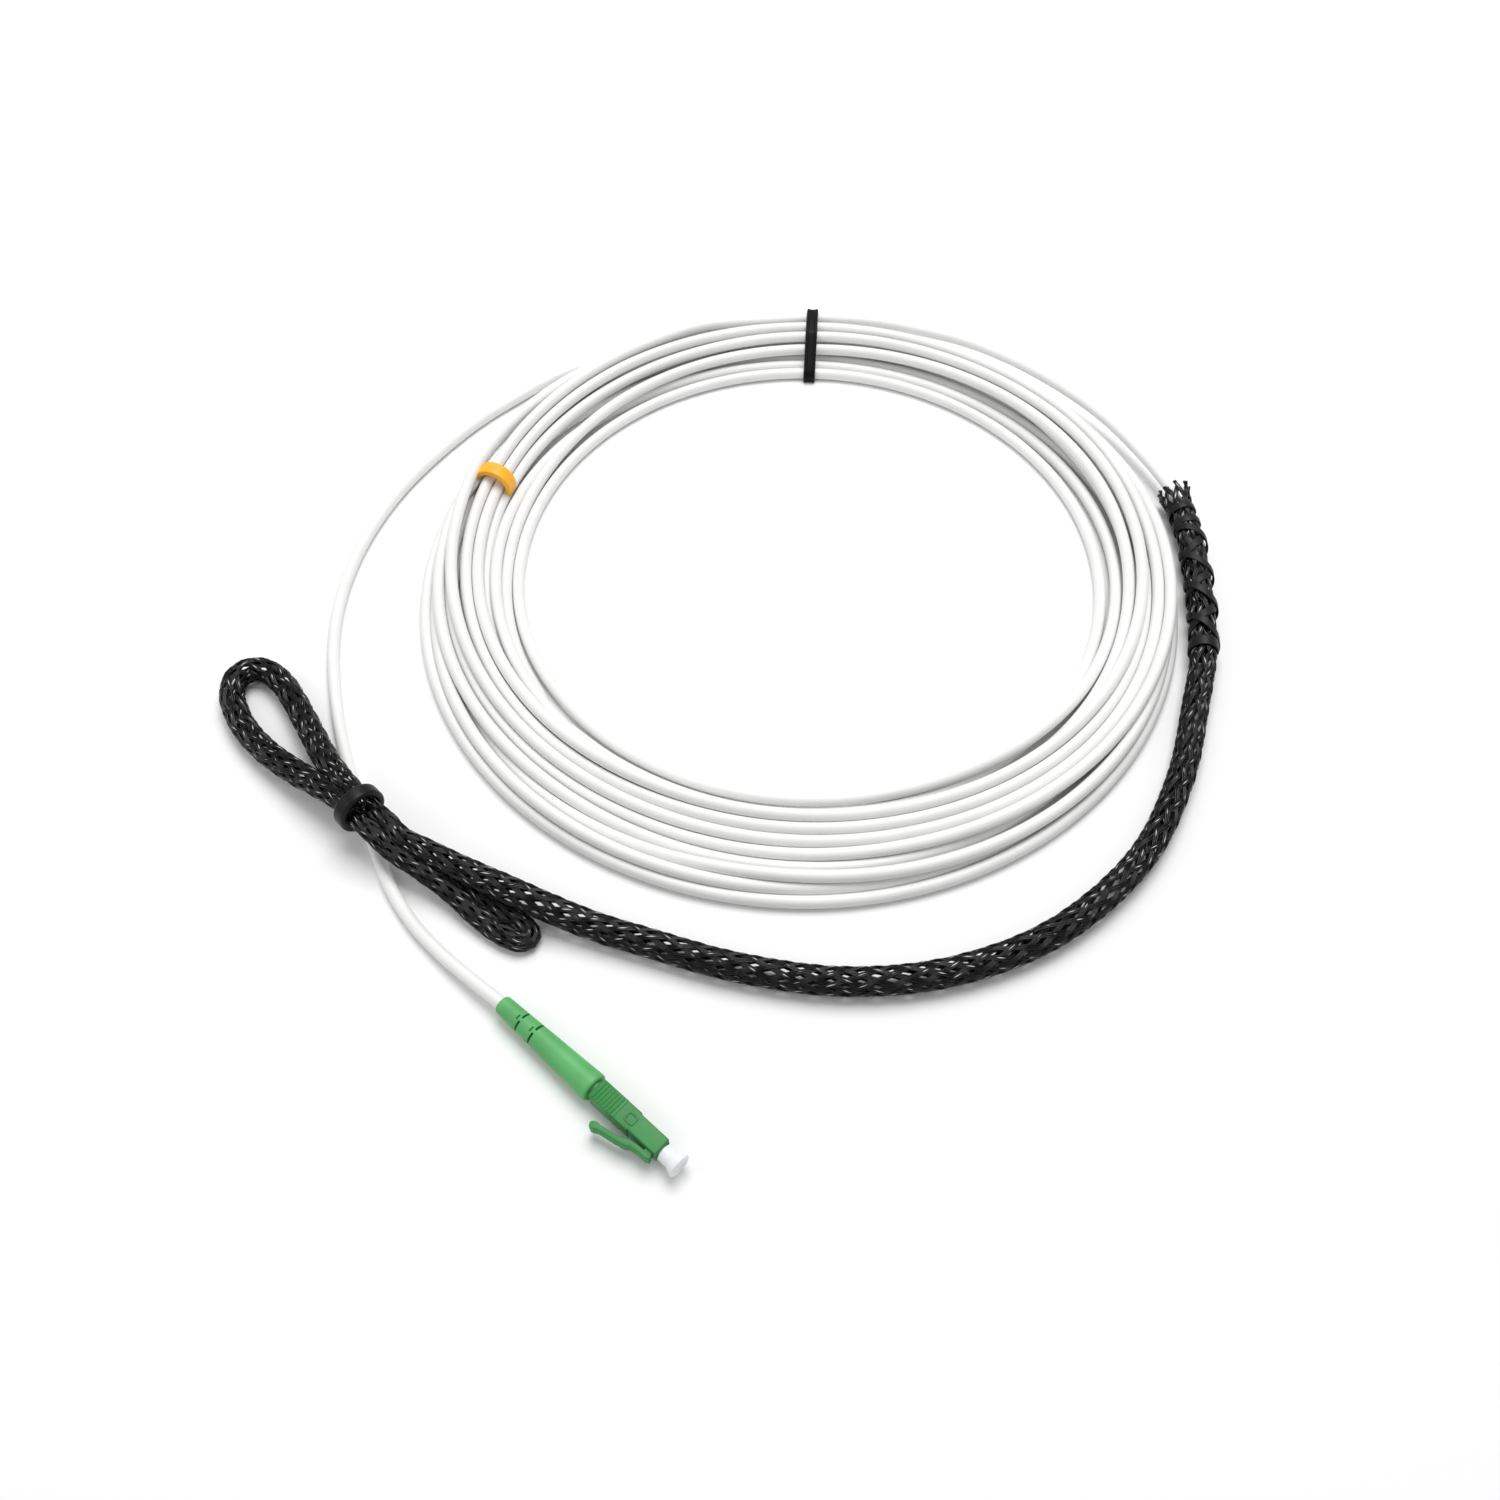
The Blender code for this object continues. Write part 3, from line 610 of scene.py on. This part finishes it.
def settled_turns():
    """The turns' angles, their shares of the way across the coil and their heights.

    The turns start at their listed places, sink, and push each other aside until they rest.
    """
    angles = SEAM + np.arange(0, 360, 9)
    places = [place for across_it, _ in TURNS for place in across_it]
    layers = [layer for _, pile in TURNS for layer in pile]
    at = np.linspace(0, len(places), len(TURNS) * len(angles), endpoint=False)
    spots = np.arange(len(places))
    wide = coil_width(angles)
    aim = np.interp(at, spots, places).reshape(len(TURNS), -1) / (OUTER_R - INNER_R) * wide
    x = aim.copy()
    z = FLOOR_Z + LAYER_Z * np.interp(at, spots, layers).reshape(len(TURNS), -1)
    for step in range(SETTLING_ROUNDS):
        resting = step > 0.8 * SETTLING_ROUNDS
        x += (0.01 if resting else 0.12) * (aim - x)
        z -= 0 if resting else 0.03
        for _ in range(4):
            dx, dz = x[:, None] - x, z[:, None] - z
            apart = np.hypot(dx, dz) + 1e-6
            push = 0.35 * np.clip(TURN_WIDTH - apart, 0, None) / apart
            push[np.diag_indices(len(x))] = 0
            x += (push * dx).sum(1)
            z = np.maximum(z + (push * dz).sum(1), FLOOR_Z)
        for rows, scale in ((x, wide), (z, 1.0)):
            chain = (rows / scale).ravel()
            bend = (chain[:-2] + chain[2:]) / 2 - chain[1:-1]
            chain[1:-1] += (0.1 if resting else 0.2) * bend
            rows[:] = chain.reshape(rows.shape) * scale
        x = np.clip(x, -1.2, wide - 1.1)
        z = np.maximum(z, FLOOR_Z)
    return angles, x / wide, z


def coil_line(turns):
    """The cable's centre line from inside the sleeve's mouth, round the coil and to the plug."""
    angles, shares, heights = turns
    first, second = beside(*RUN[0]), beside(*RUN[1])
    ahead = (second - first) / np.linalg.norm(second - first)
    inside = [first + ahead * reach for reach in (26.0, 14.0, 1.5)]
    out = [beside(*place) for place in SLEEVE_END]
    chain = [
        across(share, angle, z)
        for row, pile in zip(shares, heights)
        for angle, share, z in zip(angles, row, pile)
    ]
    lead = [beside(*place) for place in LEAD]
    mouth = beside(*PLUG)
    return np.array(inside + out + chain[:-3] + lead + [mouth, mouth + heading(PLUG_TURN)[0] * 2.6])


def plug_matrix():
    """Takes a shape from the plug's own frame, with X along the plug's axis, to its place."""
    return set_down(beside(*PLUG), PLUG_TURN)


def neck(shift, sign):
    """A point of one of the sleeve's two necks in the band, shift mm along the band's axis."""
    along, side = heading(BAND_TURN)
    return beside(*BAND) + side * sign * BAND_NECK_SHIFT + along * shift


def run_line():
    """The sleeve from its mouth into the band."""
    ends = [neck(-7.0, 1.2), neck(-2.5, 1), neck(0.0, 1)]
    return smooth_line([beside(*place) for place in RUN] + ends, 1.0)


def loop_line():
    """The sleeve's loop, out of the band and back into it."""
    way = [neck(0.0, 1), neck(3.5, 1), *(beside(*place) for place in LOOP), neck(3.5, -1), neck(0.0, -1)]
    return smooth_line(way, 1.0)


def tail_line():
    """The sleeve's end, out of the band and folded back on itself."""
    return smooth_line([neck(0.0, -1), neck(-3.0, -1), *(beside(*place) for place in TAIL)], 1.0)


# Settings


def colour(name, description, default):
    return bpy.props.FloatVectorProperty(
        name=name, description=description, default=default, subtype="COLOR"
    )


class CableSettings(bpy.types.PropertyGroup):
    diameter: bpy.props.FloatProperty(
        name="Cable diameter",
        description="Diameter of the white jacket",
        default=0.003,
        min=0.002,
        max=0.004,
        unit="LENGTH",
    )
    jacket: colour("Jacket", "Colour of the jacket", (0.84, 0.84, 0.83))
    tie: colour("Coil tie", "Colour of the coil tie", (0.002, 0.002, 0.0021))
    marker: colour("Marker ring", "Colour of the marker ring", (0.95, 0.47, 0.016))


class PlugSettings(bpy.types.PropertyGroup):
    boot: colour("Boot", "Colour of the boot", (0.1, 0.43, 0.128))
    plug: colour("Plug body", "Colour of the plug's body", (0.034, 0.245, 0.056))
    cap: colour("Dust cap", "Colour of the dust cap", (0.82, 0.84, 0.86))
    slots: bpy.props.IntProperty(
        name="Boot slots", description="Slots round each row of the boot", default=4, min=2, max=8
    )


class SleeveSettings(bpy.types.PropertyGroup):
    carriers: bpy.props.IntProperty(
        name="Carriers", description="Groups of filaments wound each way", default=8, min=6, max=24
    )
    lay_length: bpy.props.FloatProperty(
        name="Lay length",
        description="Length of sleeve in which a filament goes once round",
        default=0.052,
        min=0.01,
        max=0.1,
        unit="LENGTH",
    )
    filament: bpy.props.FloatProperty(
        name="Filament",
        description="Diameter of one filament",
        default=0.00042,
        min=0.0002,
        max=0.001,
        unit="LENGTH",
        precision=5,
    )
    braid: colour("Braid", "Colour of the filaments", (0.0015, 0.0015, 0.0016))
    lashing: colour("Lashing", "Colour of the lashing", (0.002, 0.002, 0.0021))
    rubber: colour("Band", "Colour of the rubber band", (0.005, 0.005, 0.0053))


class StageSettings(bpy.types.PropertyGroup):
    floor: colour("Floor", "Colour of the floor", (0.9, 0.9, 0.9))
    key_light: bpy.props.FloatProperty(
        name="Key light", description="Power of the large soft light", default=10.9, min=0.0, unit="POWER"
    )


# Operators


class FIBRE_OT_stage(bpy.types.Operator):
    """Adds the camera, the floor and the soft lights"""

    bl_idname = "fibre.stage"
    bl_label = "Stage"

    def execute(self, context):
        settings = context.scene.fibre_stage
        camera_data = bpy.data.cameras.new("camera")
        camera_data.lens = CAMERA_LENS
        camera_data.sensor_width = SENSOR_WIDTH
        camera = bpy.data.objects.new("camera", camera_data)
        context.scene.collection.objects.link(camera)
        target = Vector(CAMERA_TARGET)
        down = math.radians(CAMERA_DOWN)
        camera.location = target + Vector((0.0, -math.cos(down), math.sin(down))) * CAMERA_DISTANCE
        camera.rotation_euler = (target - camera.location).to_track_quat("-Z", "Y").to_euler()
        camera_data.clip_start = 0.01
        context.scene.camera = camera

        mesh = bpy.data.meshes.new("floor")
        size = FLOOR_HALF
        corners = [(-size, -size, 0.0), (size, -size, 0.0), (size, size, 0.0), (-size, size, 0.0)]
        mesh.from_pydata(corners, [], [(0, 1, 2, 3)])
        mesh.materials.append(pale_floor(settings))
        floor = bpy.data.objects.new("floor", mesh)
        context.scene.collection.objects.link(floor)

        context.scene.view_settings.view_transform = "Standard"
        for name, place, size, share in LAMPS:
            self.add_light(context, name, place, size, settings.key_light * share)
        world = context.scene.world or bpy.data.worlds.new("studio")
        context.scene.world = world
        world.use_nodes = True
        sky = world.node_tree.nodes["Background"]
        sky.inputs[0].default_value = (1.0, 1.0, 1.0, 1.0)
        sky.inputs[1].default_value = SKY_STRENGTH
        return {"FINISHED"}

    def add_light(self, context, name, place, size, power):
        """A square lamp that faces the frame's origin."""
        light = bpy.data.lights.new(name, "AREA")
        light.shape = "SQUARE"
        light.size = size
        light.energy = power
        lamp = bpy.data.objects.new(name, light)
        lamp.location = place
        lamp.rotation_euler = (-Vector(place)).to_track_quat("-Z", "Y").to_euler()
        context.scene.collection.objects.link(lamp)


class FIBRE_OT_cable(bpy.types.Operator):
    """Adds the whole length of white cable, coiled, with its lead to the plug"""

    bl_idname = "fibre.cable"
    bl_label = "Coiled cable"

    def execute(self, context):
        settings = context.scene.fibre_cable
        line = smooth_line(coil_line(settled_turns()), 2.4)
        rings, lay = round_tube(line, settings.diameter / MM / 2, 14)
        skin = Skin()
        skin.tube(rings, lay=lay)
        cable = skin.make("coiled_cable", white_jacket(settings), "cable")
        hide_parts("cable_coil", "cable_lead", "cable_entry")
        return {"FINISHED"}


class FIBRE_OT_ties(bpy.types.Operator):
    """Adds the flat tie round the coil and the yellow marker ring"""

    bl_idname = "fibre.ties"
    bl_label = "Tie and marker ring"

    def execute(self, context):
        settings = context.scene.fibre_cable
        turns = settled_turns()
        self.add_tie(settings, turns)
        self.add_marker(settings, turns)
        return {"FINISHED"}

    def add_tie(self, settings, turns):
        """A strap pulled round the turns."""
        line = smooth_line(coil_line(turns), 1.0)
        out, side = heading(TIE_ANGLE)
        centre = np.array((OUTER_X, OUTER_Y, 0.0))
        local = line - centre
        near = (np.abs(local @ side) < TIE_REACH) & (local @ out > 0) & (local @ out < OUTER_R + 4)
        cuts = np.stack(((local @ out)[near], line[near, 2]), axis=-1)
        hull = wrapped(cuts, settings.diameter / MM / 2 + 0.12)
        ring = rounded(hull, 1.2, 3)
        ahead = unit(np.roll(ring, -1, axis=0) - np.roll(ring, 1, axis=0))
        outward = np.stack((ahead[:, 1], -ahead[:, 0]), axis=-1)
        section = np.array(TIE_SECTION)
        around = lengths_of(ring)
        rings = []
        lays = []
        for place, normal, along in zip(ring, outward, around):
            flat = place + normal * section[:, 1:]
            points = centre + out * flat[:, :1] - side * section[:, :1]
            points[:, 2] = np.maximum(flat[:, 1], 0.02)
            rings.append(points)
            lays.append(np.column_stack((np.full(len(section), along), section)) * MM)
        skin = Skin()
        skin.tube(rings + rings[:1], caps=False, lay=lays + lays[:1])
        tie = skin.make("coil_tie_strap", black_tie_plastic(settings), "cable", 40.0)
        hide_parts("coil_tie")

    def add_marker(self, settings, turns):
        angles, shares, heights = turns
        places = []
        for number in MARKER_TURNS:
            share = np.interp(MARKER_ANGLE, angles, shares[number])
            places.append(across(share, MARKER_ANGLE, np.interp(MARKER_ANGLE, angles, heights[number])))
        middle = sum(places) / len(places) + np.array(MARKER_SHIFT)
        where = set_down(middle, MARKER_ANGLE + 90)
        skin = Skin()
        skin.tube(turned(ring_profile(*MARKER_RING), 96, where), caps=False)
        yellow = yellow_marker_plastic(settings)
        ring = skin.make("marker_ring_moulding", yellow, "cable")
        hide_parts("marker_ring")


def ring_profile(half, outer, inner, edge):
    """The closed outline, as (along, radius), of a ring with rounded edges."""
    profile = []
    corners = (
        (half - edge, outer - edge, 90),
        (half - edge, inner + edge, 0),
        (edge - half, inner + edge, 270),
        (edge - half, outer - edge, 180),
    )
    for x, r, start in corners:
        for step in range(7):
            angle = math.radians(start - 15 * step)
            profile.append((x + edge * math.cos(angle), r + edge * math.sin(angle)))
    return profile + profile[:1]


def wrapped(cuts, radius):
    """The outline of a strap pulled round discs at these places: out along the floor, then back over."""
    turn = full_turn(24)
    rim = (cuts[:, None] + radius * np.stack((np.cos(turn), np.sin(turn)), axis=-1)[None]).reshape(-1, 2)
    rim = rim[np.lexsort((rim[:, 1], rim[:, 0]))]

    def half(points):
        kept = []
        for point in points:
            while len(kept) > 1:
                (ax, ay), (bx, by) = kept[-1] - kept[-2], point - kept[-2]
                if ax * by - ay * bx > 0:
                    break
                kept.pop()
            kept.append(point)
        return kept[:-1]

    return np.array(half(rim) + half(rim[::-1]))


class FIBRE_OT_plug(bpy.types.Operator):
    """Adds the boot, the plug's body with its latch, and the dust cap"""

    bl_idname = "fibre.plug"
    bl_label = "Plug"

    def execute(self, context):
        settings = context.scene.fibre_plug
        green = green_plug_plastic(settings)
        self.add_boot(settings)
        self.add_body(green)
        self.add_latch(green)
        self.add_cap(settings)
        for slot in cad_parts["ferrule"].material_slots:
            slot.material = white_ceramic()
        return {"FINISHED"}

    def add_boot(self, settings):
        """The tapered boot. Behind each ring of long slits, short shallow ones span its webs."""
        turn = full_turn(144)
        along = np.concatenate(
            (
                [0.0, 0.05, 0.25, 0.6],
                np.linspace(0.8, BOOT_LENGTH - 0.8, 330),
                BOOT_LENGTH - BOOT_EDGE + BOOT_EDGE * np.sin(np.linspace(0, np.pi / 2, 8)),
            )
        )
        radius = BOOT_MOUTH_R + BOOT_FLARE * along / BOOT_LENGTH
        radius[:3] = 1.62, 1.85, 2.0
        radius[-8:] -= BOOT_EDGE * (1 - np.cos(np.linspace(0, np.pi / 2, 8)))
        depth = np.zeros((len(along), len(turn)))
        webs = np.cos(settings.slots * (turn - math.radians(BOOT_WEB)))
        for start in BOOT_SLITS:
            long_row = eased((0.24 - np.abs(along - start - SLIT_STEP)) / 0.08)
            short_row = eased((0.2 - np.abs(along - start)) / 0.08)
            depth = np.maximum(depth, long_row[:, None] * eased((0.8 - webs) / 0.12)[None])
            depth = np.maximum(depth, 0.6 * short_row[:, None] * eased((webs - 0.4) / 0.2)[None])
        reach = radius[:, None] - SLIT_DEPTH * depth
        neck_ring = [(BOOT_LENGTH - 0.2, 2.1), (BODY_START + 0.1, 2.1)]
        skin = Skin()
        # The slits' depth also sets the painted shade in them; the neck ring between boot and body gets
        # painted shade too
        skin.tube(lathed(along, reach, plug_matrix()), pit=depth)
        skin.tube(turned(neck_ring, 64, plug_matrix()), pit=np.full((2, 64), 0.6))
        boot = skin.make("boot_moulding", light_green_rubber(settings), "cable")
        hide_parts("connector_boot")

    def add_body(self, green):
        """The body, with its bored nose and the latch's root."""
        half = BODY_SIDE / 2
        start, front = BODY_START - 1.2, PLUG_FRONT
        stations = [
            (start, half - 0.5, half - 0.5),
            (start + 0.15, half - 0.15, half - 0.2),
            (start + 0.4, half, half - 0.1),
            (start + 6.9, half, half - 0.1),
            (start + 7.0, half, half - 0.22),
            (start + 10.6, half, half - 0.22),
            (start + 10.75, half - 0.25, half - 0.22),
            (front - 0.3, half - 0.3, half - 0.27),
            (front, half - 0.55, half - 0.5),
        ]
        rings = []
        for x, wide, high in stations:
            outline = rounded_box(wide, high, 0.4, 5)
            rings.append(np.column_stack((np.full(len(outline), x), outline)))
        bore = full_turn(len(rings[0])) - np.pi * 0.75
        round_it = NOSE_BORE_R * np.column_stack((np.cos(bore), np.sin(bore)))
        for x in (front, front - NOSE_BORE_DEPTH):
            rings.append(np.column_stack((np.full(len(bore), x), round_it)))
        skin = Skin()
        skin.tube(placed(rings, plug_matrix()))
        for rib in range(RIBS):
            self.add_rib(skin, start + 0.95 + rib * RIB_STEP, half - 0.1)
        self.add_window(skin, start + 8.6, half - 0.22)
        base = rounded_box(0.85, 0.525, 0.3, 4) + (front - 1.75, -2.525)
        rings = [np.column_stack((base, np.full(len(base), z))) for z in (-1.3, 1.3)]
        skin.tube(placed(rings, plug_matrix()))
        body = skin.make("plug_body_moulding", green, "cable", 35.0)
        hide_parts("connector_housing")

    def add_rib(self, skin, middle, top):
        """One rounded grip rib across the top of the body."""
        turn = np.linspace(0, np.pi, 9)
        profile = np.column_stack((0.3 * np.cos(turn), 0.26 * np.sin(turn)))
        rings = []
        for y, size in ((-2.05, 0.3), (-1.95, 0.85), (-1.8, 1.0), (1.8, 1.0), (1.95, 0.85), (2.05, 0.3)):
            points = np.array((middle, y, top - 0.06)) + np.insert(profile * size, 1, 0.0, axis=1)
            rings.append(points)
        skin.tube(placed(rings, plug_matrix()))

    def add_window(self, skin, start, top):
        """The raised rim of the small rounded outline on the top face."""
        rings = []
        for inset, z in ((0.0, -0.1), (0.0, 0.16), (0.08, 0.2), (0.3, 0.2), (0.36, 0.16), (0.36, -0.1)):
            outline = rounded_box(WINDOW_LENGTH / 2 - inset, WINDOW_HALF - inset, 0.7 - inset, 6)
            outline += (start + WINDOW_LENGTH / 2, 0)
            rings.append(np.column_stack((outline, np.full(len(outline), top + z))))
        skin.tube(placed(rings, plug_matrix()), caps=False)

    def add_latch(self, green):
        """The lever beside the body, bent outwards at its knee, with a thick rounded tip."""
        centre = smooth_line([(x, y, 0.0) for x, y in LATCH_LINE], 0.25)
        far = lengths_of(centre)
        stations = (0, 0.4, 4.6, 5.6, 7.4, far[-1] - 2.0, far[-1] - 1.1, far[-1] - 0.3, far[-1])
        thick = np.interp(far, stations, (0.4, 0.58, 0.58, 0.82, 0.58, 0.58, 0.86, 0.76, 0.4))
        ahead = unit(np.gradient(centre, axis=0))
        outward = np.column_stack((ahead[:, 1], -ahead[:, 0]))
        rings = []
        for place, normal, size in zip(centre, outward, thick):
            outline = rounded_box(size, LATCH_HALF_WIDE, 0.28, 4)
            rings.append(np.column_stack((place[:2] + normal * outline[:, :1], outline[:, 1])))
        skin = Skin()
        skin.tube(placed(rings, plug_matrix()))
        latch = skin.make("latch_moulding", green, "latch", 35.0)
        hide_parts("latch_lever")

    def add_cap(self, settings):
        """A hollow neck over the ferrule, and a flared disc with a shallow dish in its end."""
        rim = [(4.25 + 0.45 * math.sin(a), 2.2 + 0.45 * math.cos(a)) for a in np.linspace(-1.2, 1.57, 9)]
        profile = [(PLUG_FRONT + x, r) for x, r in CAP_STEM + rim + CAP_DISH]
        skin = Skin()
        skin.tube(turned(profile, 72, plug_matrix()))
        cap = skin.make("dust_cap_moulding", white_cap_plastic(settings), "cap")
        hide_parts("dust_cap")


class FIBRE_OT_sleeve(bpy.types.Operator):
    """Adds the braided sleeve, filament by filament, with its eye, its band and its lashing"""

    bl_idname = "fibre.sleeve"
    bl_label = "Pulling sleeve"

    def execute(self, context):
        settings = context.scene.fibre_sleeve
        black = black_filament(settings)
        run, loop, tail = run_line(), loop_line(), tail_line()
        far = lengths_of(run)
        radii = RUN_R - RUN_NARROWS * eased((far - far[-1] + RUN_NECK) / RUN_NECK)
        braid = self.add_braid("sleeve_run_braid", settings, black, run, radii, frayed=True)
        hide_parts("sleeve_run")
        far = lengths_of(loop)
        swelling = eased(far / LOOP_NECK) * eased((far[-1] - far) / LOOP_NECK)
        radii = NECK_R + LOOP_SWELLS * swelling
        braid = self.add_braid("sleeve_loop_braid", settings, black, loop, radii)
        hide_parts("sleeve_loop")
        radii = NECK_R + TAIL_SWELLS * eased(lengths_of(tail) / TAIL_NECK)
        braid = self.add_braid("sleeve_tail_braid", settings, black, tail, radii, flat=TAIL_FLAT)
        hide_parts("sleeve_tail")
        self.add_band(settings)
        self.add_lashing(settings, run)
        return {"FINISHED"}

    def add_braid(self, name, settings, material, line, radii, flat=1.0, frayed=False):
        """Carriers wound both ways, each of three filaments side by side, over one and under one."""
        far = lengths_of(line)
        side, up = frames_of(line)
        pitch = settings.lay_length / MM
        weave = settings.carriers * 2 * np.pi / pitch
        at = np.arange(0.0, far[-1], pitch / settings.carriers / 6)
        place, across_it, above = read_at(at, line, line, side, up)
        radius = np.interp(at, far, radii)
        size = settings.filament / MM / 2 * np.minimum(1, 0.25 + radius / 4.0)
        close = np.ones_like(at)
        spread = np.zeros_like(at)
        if frayed:
            close = 0.55 + 0.45 * eased(at / 6)
            spread = 0.7 * eased((FRAYED_LENGTH - at) / FRAYED_LENGTH)
        dice = random.Random(7)
        skin = Skin()
        for way in (1, -1):
            for carrier in range(settings.carriers):
                phase = 2 * np.pi * carrier / settings.carriers + dice.uniform(-0.05, 0.05)
                reach = dice.uniform(0.0, 1.7)
                for ply in (-1, 0, 1):
                    turn = phase + way * 2 * np.pi * at / pitch + ply * close * 2.1 * size / radius
                    lift = way * 0.8 * size * np.cos(weave * at)
                    # How much painted highlight each ply gets on its crowns, pale flecks in place of
                    # glints and openings
                    crown = (0.85 if ply == 0 else 0.3) * np.clip(way * np.cos(weave * at), 0, 1)
                    out = radius - 1.6 * size + lift + spread
                    outward = across_it * np.cos(turn)[:, None] + above * (flat * np.sin(turn))[:, None]
                    wire = place + outward * out[:, None]
                    thick = size.copy()
                    if frayed:
                        wire, thick = self.melted_tip(wire, thick, reach, dice, at[1])
                        outward = np.vstack((outward[:1], outward[:1], outward[:1], outward))
                        crown = np.concatenate((np.zeros(3), crown))
                    wire[:, 2] = np.maximum(wire[:, 2], size.min() + 0.02)
                    rings, fleck = self.filament_rings(wire, thick, outward, crown)
                    skin.tube(rings, fleck=fleck)
        return skin.make(name, material, "cable", 180.0)

    def melted_tip(self, wire, thick, reach, dice, at_step):
        """Lengthens a filament past the sleeve's mouth and swells its end to a rounded blob."""
        back = wire[0] - wire[3]
        back /= np.linalg.norm(back)
        lean = back + 0.22 * np.array([dice.uniform(-1, 1) for _ in range(3)])
        blob = dice.uniform(1.5, 2.0)
        tip = [wire[0] + lean * (reach + extra) for extra in (0.55, 0.45, 0.1, -0.5)]
        sizes = thick[0] * np.array((0.5, 0.95 * blob, blob, 1.1 * blob / 1.3))
        swell = 1 + 0.8 * eased((6.5 - at_step * np.arange(len(thick))) / 6.5)
        return np.vstack((tip, wire[1:])), np.concatenate((sizes, (thick * swell)[1:]))

    def filament_rings(self, wire, thick, outward, crown):
        """Rings of a filament, and its share of painted highlight: on the crowns, on the side facing
        outwards.
        """
        ahead = unit(np.gradient(wire, axis=0))
        side = unit(np.cross(ahead, outward))
        up = np.cross(side, ahead)
        turn = full_turn(5)[None, :, None]
        rings = wire[:, None] + thick[:, None, None] * (
            side[:, None] * np.sin(turn) + up[:, None] * np.cos(turn)
        )
        return rings, crown[:, None] * np.clip(np.cos(turn[..., 0]), 0, 1)

    def add_band(self, settings):
        where = set_down(beside(*BAND), BAND_TURN)
        skin = Skin()
        skin.tube(turned(ring_profile(*BAND_RING), 96, where), caps=False)
        band = skin.make("rubber_band_ring", black_rubber(settings), "cable")
        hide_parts("sleeve_band")

    def add_lashing(self, settings, run):
        """One flat cord: two hoops, a winding down and one back over it, and a double hoop between."""
        stations, counts = np.array(WINDING).T
        marks = np.arange(len(stations))
        share = np.linspace(0, marks[-1], 1100)
        turn = np.interp(share, marks, counts)
        at = np.interp(share, marks, stations)
        weight = np.ones(25) / 25
        for values in (turn, at):
            values[12:-12] = np.convolve(values, weight, mode="valid")
        knee = int(np.argmax(at))
        way = np.where(np.arange(len(at)) < knee, -1, 1)
        amid = way * eased((at - 12) / 5) * eased((52 - at) / 5)
        at = at + LASHING_WAVE * amid * np.sin(2 * np.pi * (turn - 0.25))
        lift = np.full(len(at), 0.12)
        order = np.argsort(at[:knee])
        under = np.interp(at[knee:], at[:knee][order], turn[:knee][order])
        lift[knee:] = 0.2 + 0.4 * np.cos(np.pi * (turn[knee:] - under)) ** 6
        lift = np.convolve(np.pad(lift, 7, mode="edge"), np.ones(15) / 15, mode="valid")
        place, across_it, above = read_at(at, run, run, *frames_of(run))
        angle = 2 * np.pi * turn
        outward = across_it * np.cos(angle)[:, None] + above * np.sin(angle)[:, None]
        wire = place + outward * (LASHING_R + lift)[:, None]
        wide = unit(np.cross(unit(np.gradient(wire, axis=0)), outward))
        section = rounded_box(CORD_HALF_WIDE, CORD_HALF_THICK, CORD_HALF_THICK, 3)
        rings = wire[:, None] + wide[:, None] * section[:, :1] + outward[:, None] * section[:, 1:]
        rings[..., 2] = np.maximum(rings[..., 2], 0.03)
        lay = np.zeros_like(rings)
        lay[..., 0] = lengths_of(wire)[:, None] * MM
        lay[..., 1] = section[:, 0] * MM
        skin = Skin()
        skin.tube(rings, lay=lay)
        lashing = skin.make("flat_cord_lashing", black_lashing(settings), "cable", 40.0)
        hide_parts("sleeve_lashing")


class FIBRE_PT_panel(bpy.types.Panel):
    """Lists the pieces of the cable and their settings"""

    bl_idname = "FIBRE_PT_panel"
    bl_label = "Fibre Cable"
    bl_space_type = "VIEW_3D"
    bl_region_type = "UI"
    bl_category = "Fibre Cable"

    def draw(self, context):
        scene = context.scene
        groups = (
            ("fibre.stage", scene.fibre_stage),
            ("fibre.cable", scene.fibre_cable),
            ("fibre.plug", scene.fibre_plug),
            ("fibre.sleeve", scene.fibre_sleeve),
        )
        for operator, settings in groups:
            box = self.layout.box()
            box.operator(operator)
            for name in settings.bl_rna.properties.keys():
                if name not in ("rna_type", "name"):
                    box.prop(settings, name)
        self.layout.operator("fibre.ties")


SETTINGS = {
    "fibre_cable": CableSettings,
    "fibre_plug": PlugSettings,
    "fibre_sleeve": SleeveSettings,
    "fibre_stage": StageSettings,
}
CLASSES = (
    *SETTINGS.values(),
    FIBRE_OT_stage,
    FIBRE_OT_cable,
    FIBRE_OT_ties,
    FIBRE_OT_plug,
    FIBRE_OT_sleeve,
    FIBRE_PT_panel,
)


def register():
    for kind in CLASSES:
        bpy.utils.register_class(kind)
    for name, kind in SETTINGS.items():
        setattr(bpy.types.Scene, name, bpy.props.PointerProperty(type=kind))


def unregister():
    for name in SETTINGS:
        delattr(bpy.types.Scene, name)
    for kind in reversed(CLASSES):
        bpy.utils.unregister_class(kind)


def main():
    register()
    bpy.ops.fibre.stage()
    bpy.ops.fibre.plug()
    bpy.ops.fibre.cable()
    bpy.ops.fibre.ties()
    bpy.ops.fibre.sleeve()


if __name__ == "__main__":
    main()
